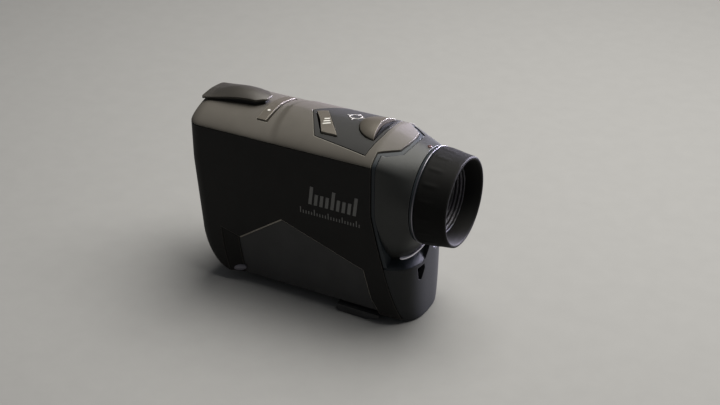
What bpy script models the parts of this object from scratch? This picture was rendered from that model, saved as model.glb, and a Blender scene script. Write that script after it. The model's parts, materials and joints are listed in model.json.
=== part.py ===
"""Handheld laser rangefinder with a monocular eyepiece, built as an assembly of separate pieces.

+X points from the target to the user's eye, -Y is the user's left hand side and +Z is up.
The origin is on the flat of the keel that the object rests on, under the middle of its length.
Every length below is in millimetres. The mesh helpers turn it into metres.
"""

import math

import bmesh
import bpy
from mathutils import Matrix, Vector

MM = 0.001
GAP = 0.3                       # between neighbouring pieces
WELD = 0.01                     # closer points left by a Boolean are merged

# Overall body
FRONT_X = -53.75                # front face
RIM_X = 53.75                   # rim of the eyecup
AXIS_Z = 50.3                   # optical axis
HALF_WIDTH = 18.5               # outside of the armour
SEAM_Z = 65.6                   # joint between the sides and the top cover
LEG_Z = 4.7                     # lower edge of the sides
NOSE_RAKE = 0.085               # how fast the front face leans back below the axis
NOSE_CORNER_X = 9.0             # the lower front corner is a quarter ellipse
NOSE_CORNER_Z = 16.0
PLAN_CORNER = 6.0               # upright front corners, seen from above
REAR_X = 25.0                   # rear seam beside the eyepiece
REAR_SWEEP = 10.6               # how far that seam runs back at the bottom
REAR_SWEEP_Z = 46.0             # height where the sweep starts
STERN_X = 25.0                  # the sides start to curve in here
STERN_BACK = 41.0               # rearmost point of the casing, under the eyepiece
STERN_POWER = 0.7               # 1 is an ellipse in plan, less is boxier
STERN_LOW = 0.2                 # underside of the stern
STERN_TUCK = 4.0                # how much narrower the stern is at its foot
STERN_TUCK_Z = 24.0             # height where that starts
SHOULDER_Z = 24.7               # top edge of the rear cover
STERN_INSET = 0.2               # the rear cover lies this far under the armour's surface
# The ledge under the turret: height, inset at the sides, inset at the back
LEDGE = ((23.7, 0.5, 0.5), (25.4, 0.5, 0.5), (26.0, 4.5, 1.2), (26.8, 9.0, 1.9), (29.0, 10.5, 2.5),
         (31.4, 11.0, 2.8))

# Walls
SHELL_Y = 16.2                  # outside of the inner casing
SHELL_WALL = 1.6
ARMOUR_WALL = 2.0
TOP_WALL = 2.4
KEEL_HALF = 6.5                 # half width of the flat under the keel
KEEL_FRONT_X = -36.5
KEEL_REAR_X = 9.6
CASE_SCREWS = ((-36.0, 11.8), (12.0, 9.2), (22.6, 33.6), (-36.0, 34.8))
BOSS_R = 2.1
COUNTERBORE_R = 1.95

# Top cover
CROWN_FRONT = 6.2               # height of the crown over the seam, ahead of the fold
CROWN_REAR = 7.4                # and behind it
CROWN_POWER = 1.5               # 2 is an ellipse, 1 is a gable
ARCH_STEPS = 20
TONGUE_ROOT_Y = 12.0            # half width where it leaves the rear seam
TONGUE_TIP_Y = 7.6
TONGUE_TIP_X = 32.8
PANEL_DEPTH = 0.8
BUTTON_FLOOR = 68.8             # flat underside of the keys
HOOD_HALF = 7.2
BAR_X = -24.5
BAR_HALF_WIDTH = 1.9
BAR_REACH = 10.9
HOOD_REAR_X = -30.0

# Eyepiece
RING_X = 40.2
RING_R = 18.5
CUP_X = 41.9
CUP_BASE_R = 18.3
RIM_R = 17.0
CHIN = 29.0                     # how far the turret reaches below the axis
CHIN_POWER = 2.5                # 2 is an ellipse, more is fuller
TURRET_WALL = 2.2
TURRET_END_R = RING_R - 0.4     # the turret stands just inside the ring
TURRET_STEPS = 48
TRIM_WIDTH = 1.5                # of the dark band between the sides and the turret
CELL_R = 13.2

# Objective and emitter
LENS_R = 10.6
TUBE_R = 12.2
TUBE_BORE_R = 11.1
EMITTER_Z = 24.0
EMITTER_R = 7.6

# Battery and its door
BATTERY_R = 7.8
BATTERY_LENGTH = 27.0
BATTERY_X = -21.5
BATTERY_Z = 11.0
HINGE_X = -31.5
HINGE_Z = 3.3
DOOR_HALF = 8.7
DOOR_REAR_X = 9.2
LATCH_X = (9.95, 28.35)
LATCH_HALF = 17.2
LATCH_TOP = 3.1

# Autofocus drive
SCREW_Z = 33.2
SCREW_R = 1.0
FOCUS_X = -20.0

# Looks shared by several lenses: colour, roughness, metallic, transmission
GLASS = ((0.60, 0.66, 0.70), 0.05, 0.0, 0.9)
COATED = ((0.30, 0.26, 0.42), 0.05, 0.0, 0.9)

PARTS = None
CUTTERS = None
EMPTIES = {}


# ---------------------------------------------------------------- scene and helpers

def clear_scene():
    for obj in list(bpy.data.objects):
        bpy.data.objects.remove(obj)


def make_collections():
    global PARTS, CUTTERS
    PARTS = bpy.data.collections.new("laser_rangefinder")
    CUTTERS = bpy.data.collections.new("cutters")
    bpy.context.scene.collection.children.link(PARTS)
    bpy.context.scene.collection.children.link(CUTTERS)


def material(name, colour, roughness, metallic=0.0, transmission=0.0):
    made = bpy.data.materials.get(name)
    if made:
        return made
    made = bpy.data.materials.new(name)
    made.use_nodes = True
    shader = made.node_tree.nodes["Principled BSDF"]
    shader.inputs["Base Color"].default_value = (*colour, 1.0)
    shader.inputs["Roughness"].default_value = roughness
    shader.inputs["Metallic"].default_value = metallic
    shader.inputs["Transmission Weight"].default_value = transmission
    return made


def new_cutter(bm, name):
    mesh = bpy.data.meshes.new(name)
    bm.to_mesh(mesh)
    bm.free()
    obj = bpy.data.objects.new(name, mesh)
    obj.hide_render = True
    obj.display_type = "WIRE"
    CUTTERS.objects.link(obj)
    return obj


def object_from(bm, name):
    """A cutter object in metres from a bmesh in millimetres. part() turns it into a piece."""
    bmesh.ops.scale(bm, vec=Vector((MM, MM, MM)), verts=bm.verts)
    bmesh.ops.recalc_face_normals(bm, faces=bm.faces)
    return new_cutter(bm, name)


def part(obj, name, look, sharp=35.0):
    """Name a finished shape, give it its own material and move it to the collection of pieces."""
    if any(step.type == "BOOLEAN" for step in obj.modifiers):
        weld = obj.modifiers.new("weld", "WELD")
        weld.merge_threshold = WELD * MM
    obj.name = name
    obj.hide_render = False
    obj.display_type = "TEXTURED"
    CUTTERS.objects.unlink(obj)
    PARTS.objects.link(obj)
    obj.data.materials.clear()
    obj.data.materials.append(material(name + "_finish", *look))
    obj.data.shade_smooth()
    obj.data.set_sharp_from_angle(angle=math.radians(sharp))
    return obj


def prism(name, outline, low, high, axis):
    """A flat outline pushed along an axis: (x, z) outlines along Y, (x, y) along Z, (y, z) along X."""
    bm = bmesh.new()
    place = {
        "X": lambda a, b: (low, a, b),
        "Y": lambda a, b: (a, low, b),
        "Z": lambda a, b: (a, b, low),
    }[axis]
    face = bm.faces.new([bm.verts.new(place(a, b)) for a, b in outline])
    pushed = bmesh.ops.extrude_face_region(bm, geom=[face])["geom"]
    moved = [item for item in pushed if isinstance(item, bmesh.types.BMVert)]
    step = Vector([high - low if letter == axis else 0.0 for letter in "XYZ"])
    bmesh.ops.translate(bm, vec=step, verts=moved)
    return object_from(bm, name)


def box(name, x, y, z):
    bm = bmesh.new()
    size = Vector((x[1] - x[0], y[1] - y[0], z[1] - z[0]))
    middle = Vector((sum(x), sum(y), sum(z))) / 2
    bmesh.ops.create_cube(bm, size=1.0)
    bmesh.ops.scale(bm, vec=size, verts=bm.verts)
    bmesh.ops.translate(bm, vec=middle, verts=bm.verts)
    return object_from(bm, name)


def rod(name, axis, low, high, centre, radius, steps=24, end_radius=None):
    """A cylinder or cone along X, Y or Z. centre holds the other two coordinates in X, Y, Z order."""
    bm = bmesh.new()
    bmesh.ops.create_cone(
        bm, cap_ends=True, segments=steps, radius1=radius,
        radius2=radius if end_radius is None else end_radius, depth=high - low,
    )
    turn = {"X": Matrix.Rotation(math.pi / 2, 3, "Y"), "Y": Matrix.Rotation(-math.pi / 2, 3, "X"),
            "Z": Matrix.Identity(3)}[axis]
    bmesh.ops.rotate(bm, cent=(0, 0, 0), matrix=turn, verts=bm.verts)
    place = list(centre)
    place.insert("XYZ".index(axis), (low + high) / 2)
    bmesh.ops.translate(bm, vec=Vector(place), verts=bm.verts)
    return object_from(bm, name)


def loft(name, rings):
    """A closed solid through rings that all have the same number of points."""
    bm = bmesh.new()
    loops = []
    for ring in rings:
        verts = [bm.verts.new(point) for point in ring]
        edges = [bm.edges.new((verts[i - 1], verts[i])) for i in range(len(verts))]
        loops.append(edges)
    for first, second in zip(loops, loops[1:]):
        bmesh.ops.bridge_loops(bm, edges=first + second)
    for end in (loops[0], loops[-1]):
        bmesh.ops.holes_fill(bm, edges=end, sides=0)
    bmesh.ops.triangulate(bm, faces=bm.faces)
    return object_from(bm, name)


def turned(name, profile, x=0.0, y=0.0, z=AXIS_Z, steps=36, closed=True):
    """A profile of (position along X, radius) turned round an axis parallel to X through (y, z)."""
    area = sum(
        a[0] * b[1] - b[0] * a[1] for a, b in zip(profile, profile[1:] + profile[:1])
    )
    points = profile if area > 0 else profile[::-1]
    bm = bmesh.new()
    verts = [bm.verts.new((radius * MM, 0.0, along * MM)) for along, radius in points]
    pairs = list(zip(verts, verts[1:]))
    if closed:
        pairs.append((verts[-1], verts[0]))
    for pair in pairs:
        bm.edges.new(pair)
    obj = new_cutter(bm, name)
    screw = obj.modifiers.new("turn", "SCREW")
    screw.axis = "Z"
    screw.steps = steps
    screw.render_steps = steps
    screw.use_merge_vertices = True
    screw.merge_threshold = 0.00001
    screw.use_smooth_shade = True
    obj.location = (x * MM, y * MM, z * MM)
    obj.rotation_euler = (0.0, math.pi / 2, 0.0)
    return obj


def combine(obj, other, how="DIFFERENCE"):
    step = obj.modifiers.new(how.lower(), "BOOLEAN")
    step.operation = how
    step.solver = "EXACT"
    step.object = other
    return obj


def cut(obj, *others):
    for other in others:
        combine(obj, other)
    return obj


def join(obj, *others):
    for other in others:
        combine(obj, other, "UNION")
    return obj


def keep(obj, other):
    return combine(obj, other, "INTERSECT")


def move_origin(obj, point):
    """Put the object's origin at a point in millimetres without moving its mesh in the world."""
    target = Vector(point) * MM
    obj.data.transform(Matrix.Translation(obj.location - target))
    obj.location = target
    return obj


def hang_on(obj, name, point):
    """Parent the object to an empty that marks a joint's axis."""
    if name not in EMPTIES:
        empty = bpy.data.objects.new(name, None)
        empty.empty_display_size = 0.005
        empty.location = Vector(point) * MM
        PARTS.objects.link(empty)
        EMPTIES[name] = empty
    empty = EMPTIES[name]
    obj.parent = empty
    obj.matrix_parent_inverse = Matrix.Translation(-empty.location)
    return obj


# ---------------------------------------------------------------- body surfaces

def smooth_step(low, high, value):
    t = min(1.0, max(0.0, (value - low) / (high - low)))
    return t * t * (3 - 2 * t)


def nose_x(z):
    """Front face at a height: upright, then raked, then a quarter ellipse into the underside."""
    x = FRONT_X + NOSE_RAKE * max(0.0, AXIS_Z - z)
    fall = LEG_Z + NOSE_CORNER_Z - z
    if fall > 0:
        share = min(1.0, fall / NOSE_CORNER_Z)
        x += NOSE_CORNER_X * (1 - math.sqrt(1 - share * share))
    return x


def seam_x(z):
    """Rear edge of the sides at a height: upright beside the eyepiece, swept back below it."""
    fall = max(0.0, (REAR_SWEEP_Z - z) / (REAR_SWEEP_Z - LEG_Z))
    return REAR_X + REAR_SWEEP * fall ** 1.1


def crown(x):
    """Height of the crown over the side seam."""
    height = CROWN_FRONT + (CROWN_REAR - CROWN_FRONT) * smooth_step(-21.0, -11.0, x)
    nose = max(0.0, (FRONT_X + 4.5 - x) / 4.5)
    return height * (1 - 0.22 * nose * nose)


def plan_half(x):
    """Half width of the body at a length, with round upright corners at the front."""
    ahead = max(0.0, FRONT_X + PLAN_CORNER - x)
    return HALF_WIDTH - PLAN_CORNER + math.sqrt(max(0.0, PLAN_CORNER ** 2 - ahead ** 2))


def arch(share):
    """Height of the arch, 0 to 1, at a share of its half width."""
    return max(0.0, 1 - abs(share) ** CROWN_POWER) ** (1 / CROWN_POWER)


def arch_shares():
    """Even steps across the arch that bunch up at its ends, where it curves most."""
    return [-math.cos(math.pi * i / ARCH_STEPS) for i in range(ARCH_STEPS + 1)]


def top_section(x, drop=0.0, skirt=0.0, lift=0.0):
    """Ring of the top cover's section: the arch, then a straight floor at the seam."""
    half = plan_half(x) - 0.9 * drop
    rise = crown(x) - drop
    points = [(x, s * half, SEAM_Z + GAP / 2 + lift + rise * arch(s)) for s in arch_shares()]
    points[0] = (x, -half, SEAM_Z + GAP / 2 - skirt)
    points[-1] = (x, half, SEAM_Z + GAP / 2 - skirt)
    return points


def stations(low, high, count):
    return [low + (high - low) * i / (count - 1) for i in range(count)]


def top_stations():
    """More sections where the front corners are round and where the fold lies."""
    corner = [FRONT_X + PLAN_CORNER * (1 - math.cos(math.pi / 2 * i / 6)) for i in range(7)]
    return corner + stations(-43.0, -22.0, 4) + stations(-19.0, -10.0, 5) + stations(-2.0, 25.0, 4)


def section_radius(angle, drop):
    """Distance from the optical axis to the body's section at the rear seam, at an angle from +Y."""
    c, s = math.cos(angle), math.sin(angle)
    if s < 0:
        wide, deep = HALF_WIDTH - drop, CHIN - drop
        sum_of_powers = abs(c / wide) ** CHIN_POWER + abs(s / deep) ** CHIN_POWER
        return sum_of_powers ** (-1 / CHIN_POWER)
    low, high = 5.0, 40.0
    for _ in range(40):
        middle = (low + high) / 2
        y, z = middle * c, AXIS_Z + middle * s
        if abs(y) >= HALF_WIDTH - 0.9 * drop:
            inside = False
        else:
            roof = SEAM_Z + (CROWN_REAR - drop) * arch(y / (HALF_WIDTH - 0.9 * drop))
            inside = z < roof
        low, high = (middle, high) if inside else (low, middle)
    return low


def turret_section(x, drop=0.0):
    """Ring of the eyepiece turret: the body's section at its front, a circle at its rear."""
    t = min(1.0, max(0.0, (x - REAR_X) / (RING_X - GAP - REAR_X)))
    points = []
    for i in range(TURRET_STEPS):
        angle = 2 * math.pi * i / TURRET_STEPS
        s = math.sin(angle)
        blend = t ** 3.2 if s < 0 else t
        blend = t + (blend - t) * min(1.0, abs(s) * 1.5)
        radius = section_radius(angle, drop) * (1 - blend) + (TURRET_END_R - drop) * blend
        points.append((x, radius * math.cos(angle), AXIS_Z + radius * s))
    return points


def turret_body(name, low, high, drop=0.0):
    return loft(name, [turret_section(x, drop) for x in stations(low, high, 7)])


def tongue_outline(grow, front=10.0):
    """Plan of the top cover's rear edge, whose middle reaches back over the turret."""
    tip = TONGUE_TIP_X + grow
    right = [
        (front, 30.0), (REAR_X + grow, 30.0), (REAR_X + grow, TONGUE_ROOT_Y + 1.2),
        (REAR_X + grow + 1.2, TONGUE_ROOT_Y + grow * 0.6), (tip - 1.4, TONGUE_TIP_Y + grow * 0.6),
        (tip - 0.3, TONGUE_TIP_Y - 4.0 + grow * 0.3),
    ]
    left = [(x, -y) for x, y in reversed(right)]
    return right + [(tip, 0.0)] + left


def rear_profile(grow, low=-10.0, high=90.0):
    """Side outline of everything ahead of the rear seam."""
    heights = stations(0.0, REAR_SWEEP_Z, 13)
    return [(-80.0, low)] + [(seam_x(0.0) + grow, low)] + [
        (seam_x(z) + grow, z) for z in heights
    ] + [(REAR_X + grow, high), (-80.0, high)]


def front_region(name, grow):
    """Everything ahead of the rear seam and of the tongue: the cutter that parts front from rear."""
    sides = prism(name + "_sides", rear_profile(grow), -40.0, 40.0, "Y")
    tongue = prism(name + "_tongue", tongue_outline(grow), 60.0, 95.0, "Z")
    return join(sides, tongue)


# ---------------------------------------------------------------- casings

def stern_points(z, inset, back_inset=None):
    """The stern in plan at a height, from the left side round to the right. Its foot is narrower."""
    if back_inset is None:
        back_inset = inset
    fall = min(1.0, max(0.0, (STERN_TUCK_Z - z) / (STERN_TUCK_Z - STERN_LOW)))
    tuck = STERN_TUCK * (1 - math.sqrt(1 - 0.985 * fall * fall))
    half, length = HALF_WIDTH - inset, STERN_BACK - back_inset - STERN_X
    points = []
    for a in stations(-math.pi / 2, math.pi / 2, 15):
        along = max(0.0, math.cos(a)) ** STERN_POWER
        across = math.copysign(abs(math.sin(a)) ** STERN_POWER, a)
        reach = half - tuck * smooth_step(0.0, 1.0, along)
        points.append((STERN_X + length * along, reach * across, z))
    return points


def side_ring(z, inset):
    """Plan of the body's sides at a height: flat sides, round front corners and the stern."""
    front, radius = nose_x(z), PLAN_CORNER - inset
    middle = HALF_WIDTH - PLAN_CORNER
    corner = [
        (front + PLAN_CORNER - radius * math.sin(a), -middle - radius * math.cos(a), z)
        for a in stations(0.0, math.pi / 2, 6)
    ]
    return corner[::-1] + stern_points(z, inset) + [(x, -y, z) for x, y, z in corner]


def side_heights():
    """Close together where the lower front corner curves, wider above it."""
    low = [LEG_Z + NOSE_CORNER_Z * (1 - math.cos(math.pi / 2 * i / 7)) for i in range(8)]
    return [STERN_LOW, 2.4] + low + [27.0, 33.0, 38.5, 44.0, AXIS_Z, 58.0, SEAM_Z - GAP / 2]


def belly_line():
    """Underside in side view: level under the casing, then down to the foot of the stern."""
    return [(-80.0, LEG_Z), (29.5, LEG_Z), (35.8, 2.5), (38.6, STERN_LOW), (38.6, -10.0)]


def side_body(name, inset, above=0.0):
    rings = [side_ring(z, inset) for z in side_heights()]
    rings.insert(0, [(x, y, STERN_LOW - 3.0) for x, y, _ in rings[0]])
    if above:
        rings.append([(x, y, z + above) for x, y, z in rings[-1]])
    return loft(name, rings)


def belly_cutter(name, lift=0.0):
    line = [(x, z + lift) for x, z in belly_line()]
    return prism(name, line + [(60.0, -10.0 + lift), (60.0, -20.0), (-80.0, -20.0)], -40.0, 40.0, "Y")


def keel():
    """Shallow wedge under the casing with a flat strip to rest on."""
    wide, top = SHELL_Y, LEG_Z + 0.6
    bow = [(KEEL_REAR_X, -wide), (KEEL_FRONT_X + 0.4, -wide), (KEEL_FRONT_X - 2.5, -wide / 2)]
    plan = bow + [(x, -y) for x, y in reversed(bow)]
    flat = [(KEEL_REAR_X, -KEEL_HALF), (KEEL_FRONT_X + 2.0, -KEEL_HALF), (KEEL_FRONT_X, -KEEL_HALF / 2)]
    sole = flat + [(x, -y) for x, y in reversed(flat)]
    rings = [(plan, top), (plan, LEG_Z), (sole, 0.0)]
    return loft("keel", [[(x, y, z) for x, y in line] for line, z in rings])


def shell(side):
    """One half of the inner casing. side is -1 for the left and 1 for the right."""
    name = "left" if side < 0 else "right"
    inset = HALF_WIDTH - SHELL_Y
    body = side_body(name + "_shell_body", inset)
    cut(body, belly_cutter(name + "_shell_belly"))
    join(body, keel())
    cavity = side_body(name + "_shell_cavity", inset + SHELL_WALL, above=9.0)
    cut(body, cut(cavity, belly_cutter(name + "_cavity_floor", SHELL_WALL)))
    keep(body, prism(name + "_shell_seam", rear_profile(0.0), -40.0, 40.0, "Y"))
    for x, z in CASE_SCREWS:
        join(body, rod("boss", "Y", -SHELL_Y + 0.5, SHELL_Y - 0.5, (x, z), BOSS_R, 16))
        cut(body, rod("boss_hole", "Y", -14.2, SHELL_Y + 1, (x, z), 1.3, 12))
        cut(body, rod("counterbore", "Y", 14.4, SHELL_Y + 1, (x, z), COUNTERBORE_R, 12))
    cut(
        body,
        rod("objective_port", "X", -70, -40, (0, AXIS_Z), TUBE_R + GAP, 48),
        rod("emitter_port", "X", -70, -40, (0, EMITTER_Z), EMITTER_R + 0.4 + GAP, 32),
        box("battery_port", (HINGE_X - 3.7, KEEL_REAR_X + 1), (-9.0, 9.0), (-1.0, 8.0)),
        rod("hinge_hole", "Y", -11.1, 11.1, (HINGE_X, HINGE_Z), 0.95, 12),
        box("latch_slot", (17.7, 26.8), (-2.8, 2.8), (3.0, 8.0)),
    )
    half = (-30.0, -GAP / 2) if side < 0 else (GAP / 2, 30.0)
    keep(body, box(name + "_half", (-80, 80), half, (-10, 90)))
    return part(body, name + "_shell", ((0.030, 0.030, 0.031), 0.55))


def arch_cutter(name, side):
    """The opening in the armour: a pointed arch whose front edge slopes in to the casing."""
    crest = [(-12.7, 33.9), (21.8, 22.0), (23.4, 16.4), (25.1, 10.7), (27.2, 7.4), (30.2, LEG_Z - 2)]
    outer = [(-35.6, LEG_Z - 2), (-37.4, 8.4), (-38.7, 14.0), (-39.7, 23.2), (-31.7, 21.0)] + crest
    inner = [(-29.8, LEG_Z - 2), (-30.6, 8.4), (-31.4, 14.0), (-32.4, 20.0), (-31.5, 20.9)] + crest
    rings = [(outer, HALF_WIDTH + 3), (outer, HALF_WIDTH + 0.05), (inner, SHELL_Y)]
    return loft(name, [[(x, side * y, z) for x, z in line] for line, y in rings])


def armour(side):
    name = "left" if side < 0 else "right"
    body = side_body(name + "_armour_body", 0.0)
    cut(
        body,
        belly_cutter(name + "_armour_belly"),
        side_body(name + "_armour_inside", ARMOUR_WALL, above=3.0),
        arch_cutter(name + "_arch", side),
    )
    keep(body, prism(name + "_armour_seam", rear_profile(0.0), -40.0, 40.0, "Y"))
    half = (-30.0, -12.2) if side < 0 else (12.2, 30.0)
    keep(body, box(name + "_armour_half", (-80, 80), half, (-10, 90)))
    return part(body, name + "_armour", ((0.012, 0.012, 0.011), 0.62))


def front_bezel():
    """Front plate between the armour's corners. It follows the nose round to the underside."""
    body = side_body("bezel_body", 0.5)
    cut(body, side_body("bezel_inside", 2.0, above=3.0))
    keep(body, box("bezel_half", (-80, -42.0), (-11.9, 11.9), (5.4, 90)))
    cut(
        body,
        rod("objective_window", "X", -70, -40, (0, AXIS_Z), LENS_R + 0.4, 48),
        rod("emitter_window", "X", -70, -40, (0, EMITTER_Z), EMITTER_R, 32),
    )
    return part(body, "front_bezel", ((0.020, 0.020, 0.021), 0.45))


def roof(name, lift=0.0, drop=0.0, skirt=0.0, low=None, high=None):
    """Solid from the seam up to the top cover's surface, lifted or thinned, along part of its length."""
    places = [x for x in top_stations() if (low is None or x > low) and (high is None or x < high)]
    places = ([] if low is None else [low]) + places + ([] if high is None else [high])
    return loft(name, [top_section(x, drop, skirt, lift) for x in places])


def rear_roof(drop, skirt, high):
    """Sections of the same arch carried back over the turret, shrinking towards the eyepiece ring."""
    rings = []
    for x in stations(REAR_X, high, 6):
        t = (x - REAR_X) / (RING_X - GAP - REAR_X)
        ring = []
        for _, y, z in top_section(REAR_X, drop, skirt):
            radius = math.hypot(y, z - AXIS_Z)
            wanted = radius * (1 - t) + (TURRET_END_R - drop) * t
            share = wanted / radius
            ring.append((x, y * share, AXIS_Z + (z - AXIS_Z) * share))
        rings.append(ring)
    return rings


def whole_roof(name, drop=0.0, skirt=0.0, low=None, high=38.0):
    places = [x for x in top_stations() if low is None or x > low]
    rings = [top_section(x, drop, skirt) for x in ([] if low is None else [low]) + places]
    return loft(name, rings[:-1] + rear_roof(drop, skirt, high))


def patch(name, outline, low_lift, high_lift):
    """A sheet that follows the top cover's surface, cut to a plan outline."""
    sheet = roof(name, high_lift)
    if low_lift is not None:
        cut(sheet, roof(name + "_under", low_lift, skirt=4.0))
    return keep(sheet, prism(name + "_plan", outline, 60.0, 95.0, "Z"))


def grown(outline, by):
    """Offset a convex or gently hollow outline outwards, corner by corner."""
    count = len(outline)
    area = sum(
        outline[i - 1][0] * outline[i][1] - outline[i][0] * outline[i - 1][1] for i in range(count)
    )
    turn = 1 if area > 0 else -1
    found = []
    for i in range(count):
        before, here, after = outline[i - 1], outline[i], outline[(i + 1) % count]
        a = Vector((here[0] - before[0], here[1] - before[1])).normalized()
        b = Vector((after[0] - here[0], after[1] - here[1])).normalized()
        out = Vector(((a.y + b.y), -(a.x + b.x))).normalized() * turn
        reach = by / max(0.35, out.dot(Vector((a.y, -a.x)) * turn))
        found.append((here[0] + out.x * reach, here[1] + out.y * reach))
    return found


def panel_outline():
    right = [(-8.5, 0.0), (-0.8, 12.6), (21.2, 15.4), (22.0, 11.0), (23.2, 5.0)]
    return right + [(23.6, 0.0)] + [(x, -y) for x, y in reversed(right[1:])]


def hood_outline():
    right = [(FRONT_X + 0.5, 5.0), (FRONT_X + 1.7, HOOD_HALF), (HOOD_REAR_X - 1.6, 5.4),
             (HOOD_REAR_X, 2.8)]
    return right + [(x, -y) for x, y in reversed(right)]


def fire_outline():
    """Bow at the front, shallow chevron at the rear."""
    bow = [
        (21.2 - 9.2 * math.cos(a), 8.8 * math.sin(a))
        for a in stations(-math.pi / 2, math.pi / 2, 13)
    ]
    return bow + [(22.6, 0.0)]


def mode_outline():
    return [(-6.2, -1.2), (-2.6, 0.9), (0.6, -4.6), (7.4, -11.0), (1.0, -11.0), (-1.6, -5.6)]


def bar_outline():
    """Straight band across the crown."""
    front, rear = BAR_X - BAR_HALF_WIDTH, BAR_X + BAR_HALF_WIDTH
    return [(front, -BAR_REACH), (rear, -BAR_REACH), (rear, BAR_REACH), (front, BAR_REACH)]


def top_cover():
    body = whole_roof("top_cover_body")
    cut(body, whole_roof("top_cover_cavity", TOP_WALL, 6.0, FRONT_X + 2.2, 39.0))
    keep(body, prism("top_plan", tongue_outline(0.0, -70.0), 50.0, 95.0, "Z"))
    cut(
        body,
        patch("panel_recess", grown(panel_outline(), GAP), -PANEL_DEPTH - GAP, 2.0),
        prism("fire_hole", grown(fire_outline(), GAP), 60.0, 95.0, "Z"),
        prism("mode_hole", grown(mode_outline(), GAP), 60.0, 95.0, "Z"),
        prism("bar_hole", grown(bar_outline(), GAP), 60.0, 95.0, "Z"),
    )
    return part(body, "top_cover", ((0.14, 0.135, 0.12), 0.42))


def control_panel():
    body = patch("control_panel", panel_outline(), -PANEL_DEPTH, 0.0)
    cut(
        body,
        prism("panel_fire_hole", grown(fire_outline(), GAP), 60.0, 95.0, "Z"),
        prism("panel_mode_hole", grown(mode_outline(), GAP), 60.0, 95.0, "Z"),
    )
    return part(body, "control_panel", ((0.075, 0.076, 0.072), 0.5))


def front_hood():
    body = patch("front_hood", hood_outline(), 0.8, 1.5)
    join(body, patch("hood_foot", grown(hood_outline(), -1.6), GAP, 1.1))
    return part(body, "front_hood", ((0.085, 0.08, 0.07), 0.45))


def button(name, outline, lift):
    """A key that stands through its hole, with a flat underside over its switch."""
    body = patch(name, outline, None, lift)
    return keep(body, box(name + "_above_floor", (-60, 60), (-30, 30), (BUTTON_FLOOR, 95)))


def fire_parts():
    """The key is split by a bowed ridge into a domed front and a glossy scoop behind it."""
    ridge = [(18.6 + 2.2 * (y / 9) ** 2, y) for y in stations(-10.0, 10.0, 9)]
    front = prism("fire_front", [(0.0, -10.0)] + ridge + [(0.0, 10.0)], 60.0, 95.0, "Z")
    back_line = [(x + GAP, y) for x, y in ridge]
    rear = prism("fire_rear", [(40.0, -10.0)] + back_line + [(40.0, 10.0)], 60.0, 95.0, "Z")
    key = button("fire_button", fire_outline(), 1.1)
    keep(key, front)
    scoop = button("fire_scoop", fire_outline(), 0.2)
    keep(scoop, rear)
    part(key, "fire_button", ((0.16, 0.145, 0.12), 0.35))
    part(scoop, "fire_button_scoop", ((0.012, 0.014, 0.016), 0.12))
    for obj in (key, scoop):
        hang_on(move_origin(obj, (18.0, 0.0, BUTTON_FLOOR)), "fire_press", (18.0, 0.0, BUTTON_FLOOR))


def other_buttons():
    mode = part(button("mode_button", mode_outline(), 0.7), "mode_button",
                ((0.13, 0.125, 0.115), 0.38))
    hang_on(move_origin(mode, (1.0, -6.0, BUTTON_FLOOR)), "mode_press", (1.0, -6.0, BUTTON_FLOOR))
    bar = part(button("range_bar", bar_outline(), 0.5), "range_bar",
               ((0.11, 0.105, 0.095), 0.42))
    hang_on(move_origin(bar, (BAR_X, 0.0, BUTTON_FLOOR)), "bar_press", (BAR_X, 0.0, BUTTON_FLOOR))


# ---------------------------------------------------------------- rear: turret, trim and lower cover

def stern_slice(z, inset, back_inset=None):
    """Closed plan of the stern with a straight front edge ahead of every seam."""
    ring = stern_points(z, inset, back_inset)
    return [(20.0, ring[0][1], z)] + ring + [(20.0, ring[-1][1], z)]


def rear_column(name, inset, low, high):
    rise = STERN_TUCK_Z - STERN_LOW
    curve = [STERN_LOW + rise * (1 - math.cos(math.pi / 2 * i / 6)) for i in range(7)]
    levels = [low] + [z for z in curve if low < z < high] + [high]
    return loft(name, [stern_slice(z, inset) for z in levels])


def shoulder_peak(name, grow):
    """The middle of the stern rises to a point under the eyepiece."""
    left = [(-6.2, 20.0), (-6.2, SHOULDER_Z), (-3.8, 25.3), (-1.8, 27.6)]
    outline = left + [(0.0, 30.1)] + [(-y, z) for y, z in reversed(left)]
    return prism(name, grown(outline, grow), 36.0, 60.0, "X")


def above_shoulder(name, grow):
    top = box(name, (10.0, 60.0), (-30.0, 30.0), (SHOULDER_Z + grow, 70.0))
    return cut(top, shoulder_peak(name + "_peak", grow))


def below_shoulder(name, grow):
    low = box(name, (10.0, 60.0), (-30.0, 30.0), (-10.0, SHOULDER_Z + grow))
    return join(low, shoulder_peak(name + "_peak", grow))


def strap_slot():
    """Slanted slot for the wrist strap, at the left corner of the stern."""
    outline = [(-9.2, 23.2), (-8.4, 17.8), (-6.4, 17.4), (-4.2, 21.5), (-4.8, 23.4)]
    return prism("strap_slot", outline, 36.5, 45.0, "X")


def rear_cover():
    body = rear_column("rear_cover_body", STERN_INSET, STERN_LOW, 34.0)
    cut(
        body,
        rear_column("rear_cover_cavity", STERN_INSET + 1.8, STERN_LOW + 1.8, 40.0),
        belly_cutter("rear_cover_belly"),
        front_region("rear_cover_front", GAP),
        above_shoulder("rear_cover_top", 0.0),
        strap_slot(),
    )
    return part(body, "rear_cover", ((0.035, 0.037, 0.038), 0.4))


def strap_bar():
    """A pin behind the strap slot, held between the cover's floor and the trim above it."""
    bar = rod("strap_bar", "Z", STERN_LOW + 1.8 + GAP, SHOULDER_Z, (37.4, -6.6), 0.9, 12)
    return part(bar, "strap_bar", ((0.35, 0.35, 0.36), 0.3, 1.0))


def eyepiece_turret():
    body = turret_body("turret_body", 22.0, RING_X - GAP)
    cut(
        body,
        turret_body("turret_cavity", 20.0, RING_X + 2, TURRET_WALL),
        front_region("turret_front", TRIM_WIDTH + GAP),
    )
    return part(body, "eyepiece_turret", ((0.12, 0.122, 0.12), 0.3))


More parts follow.
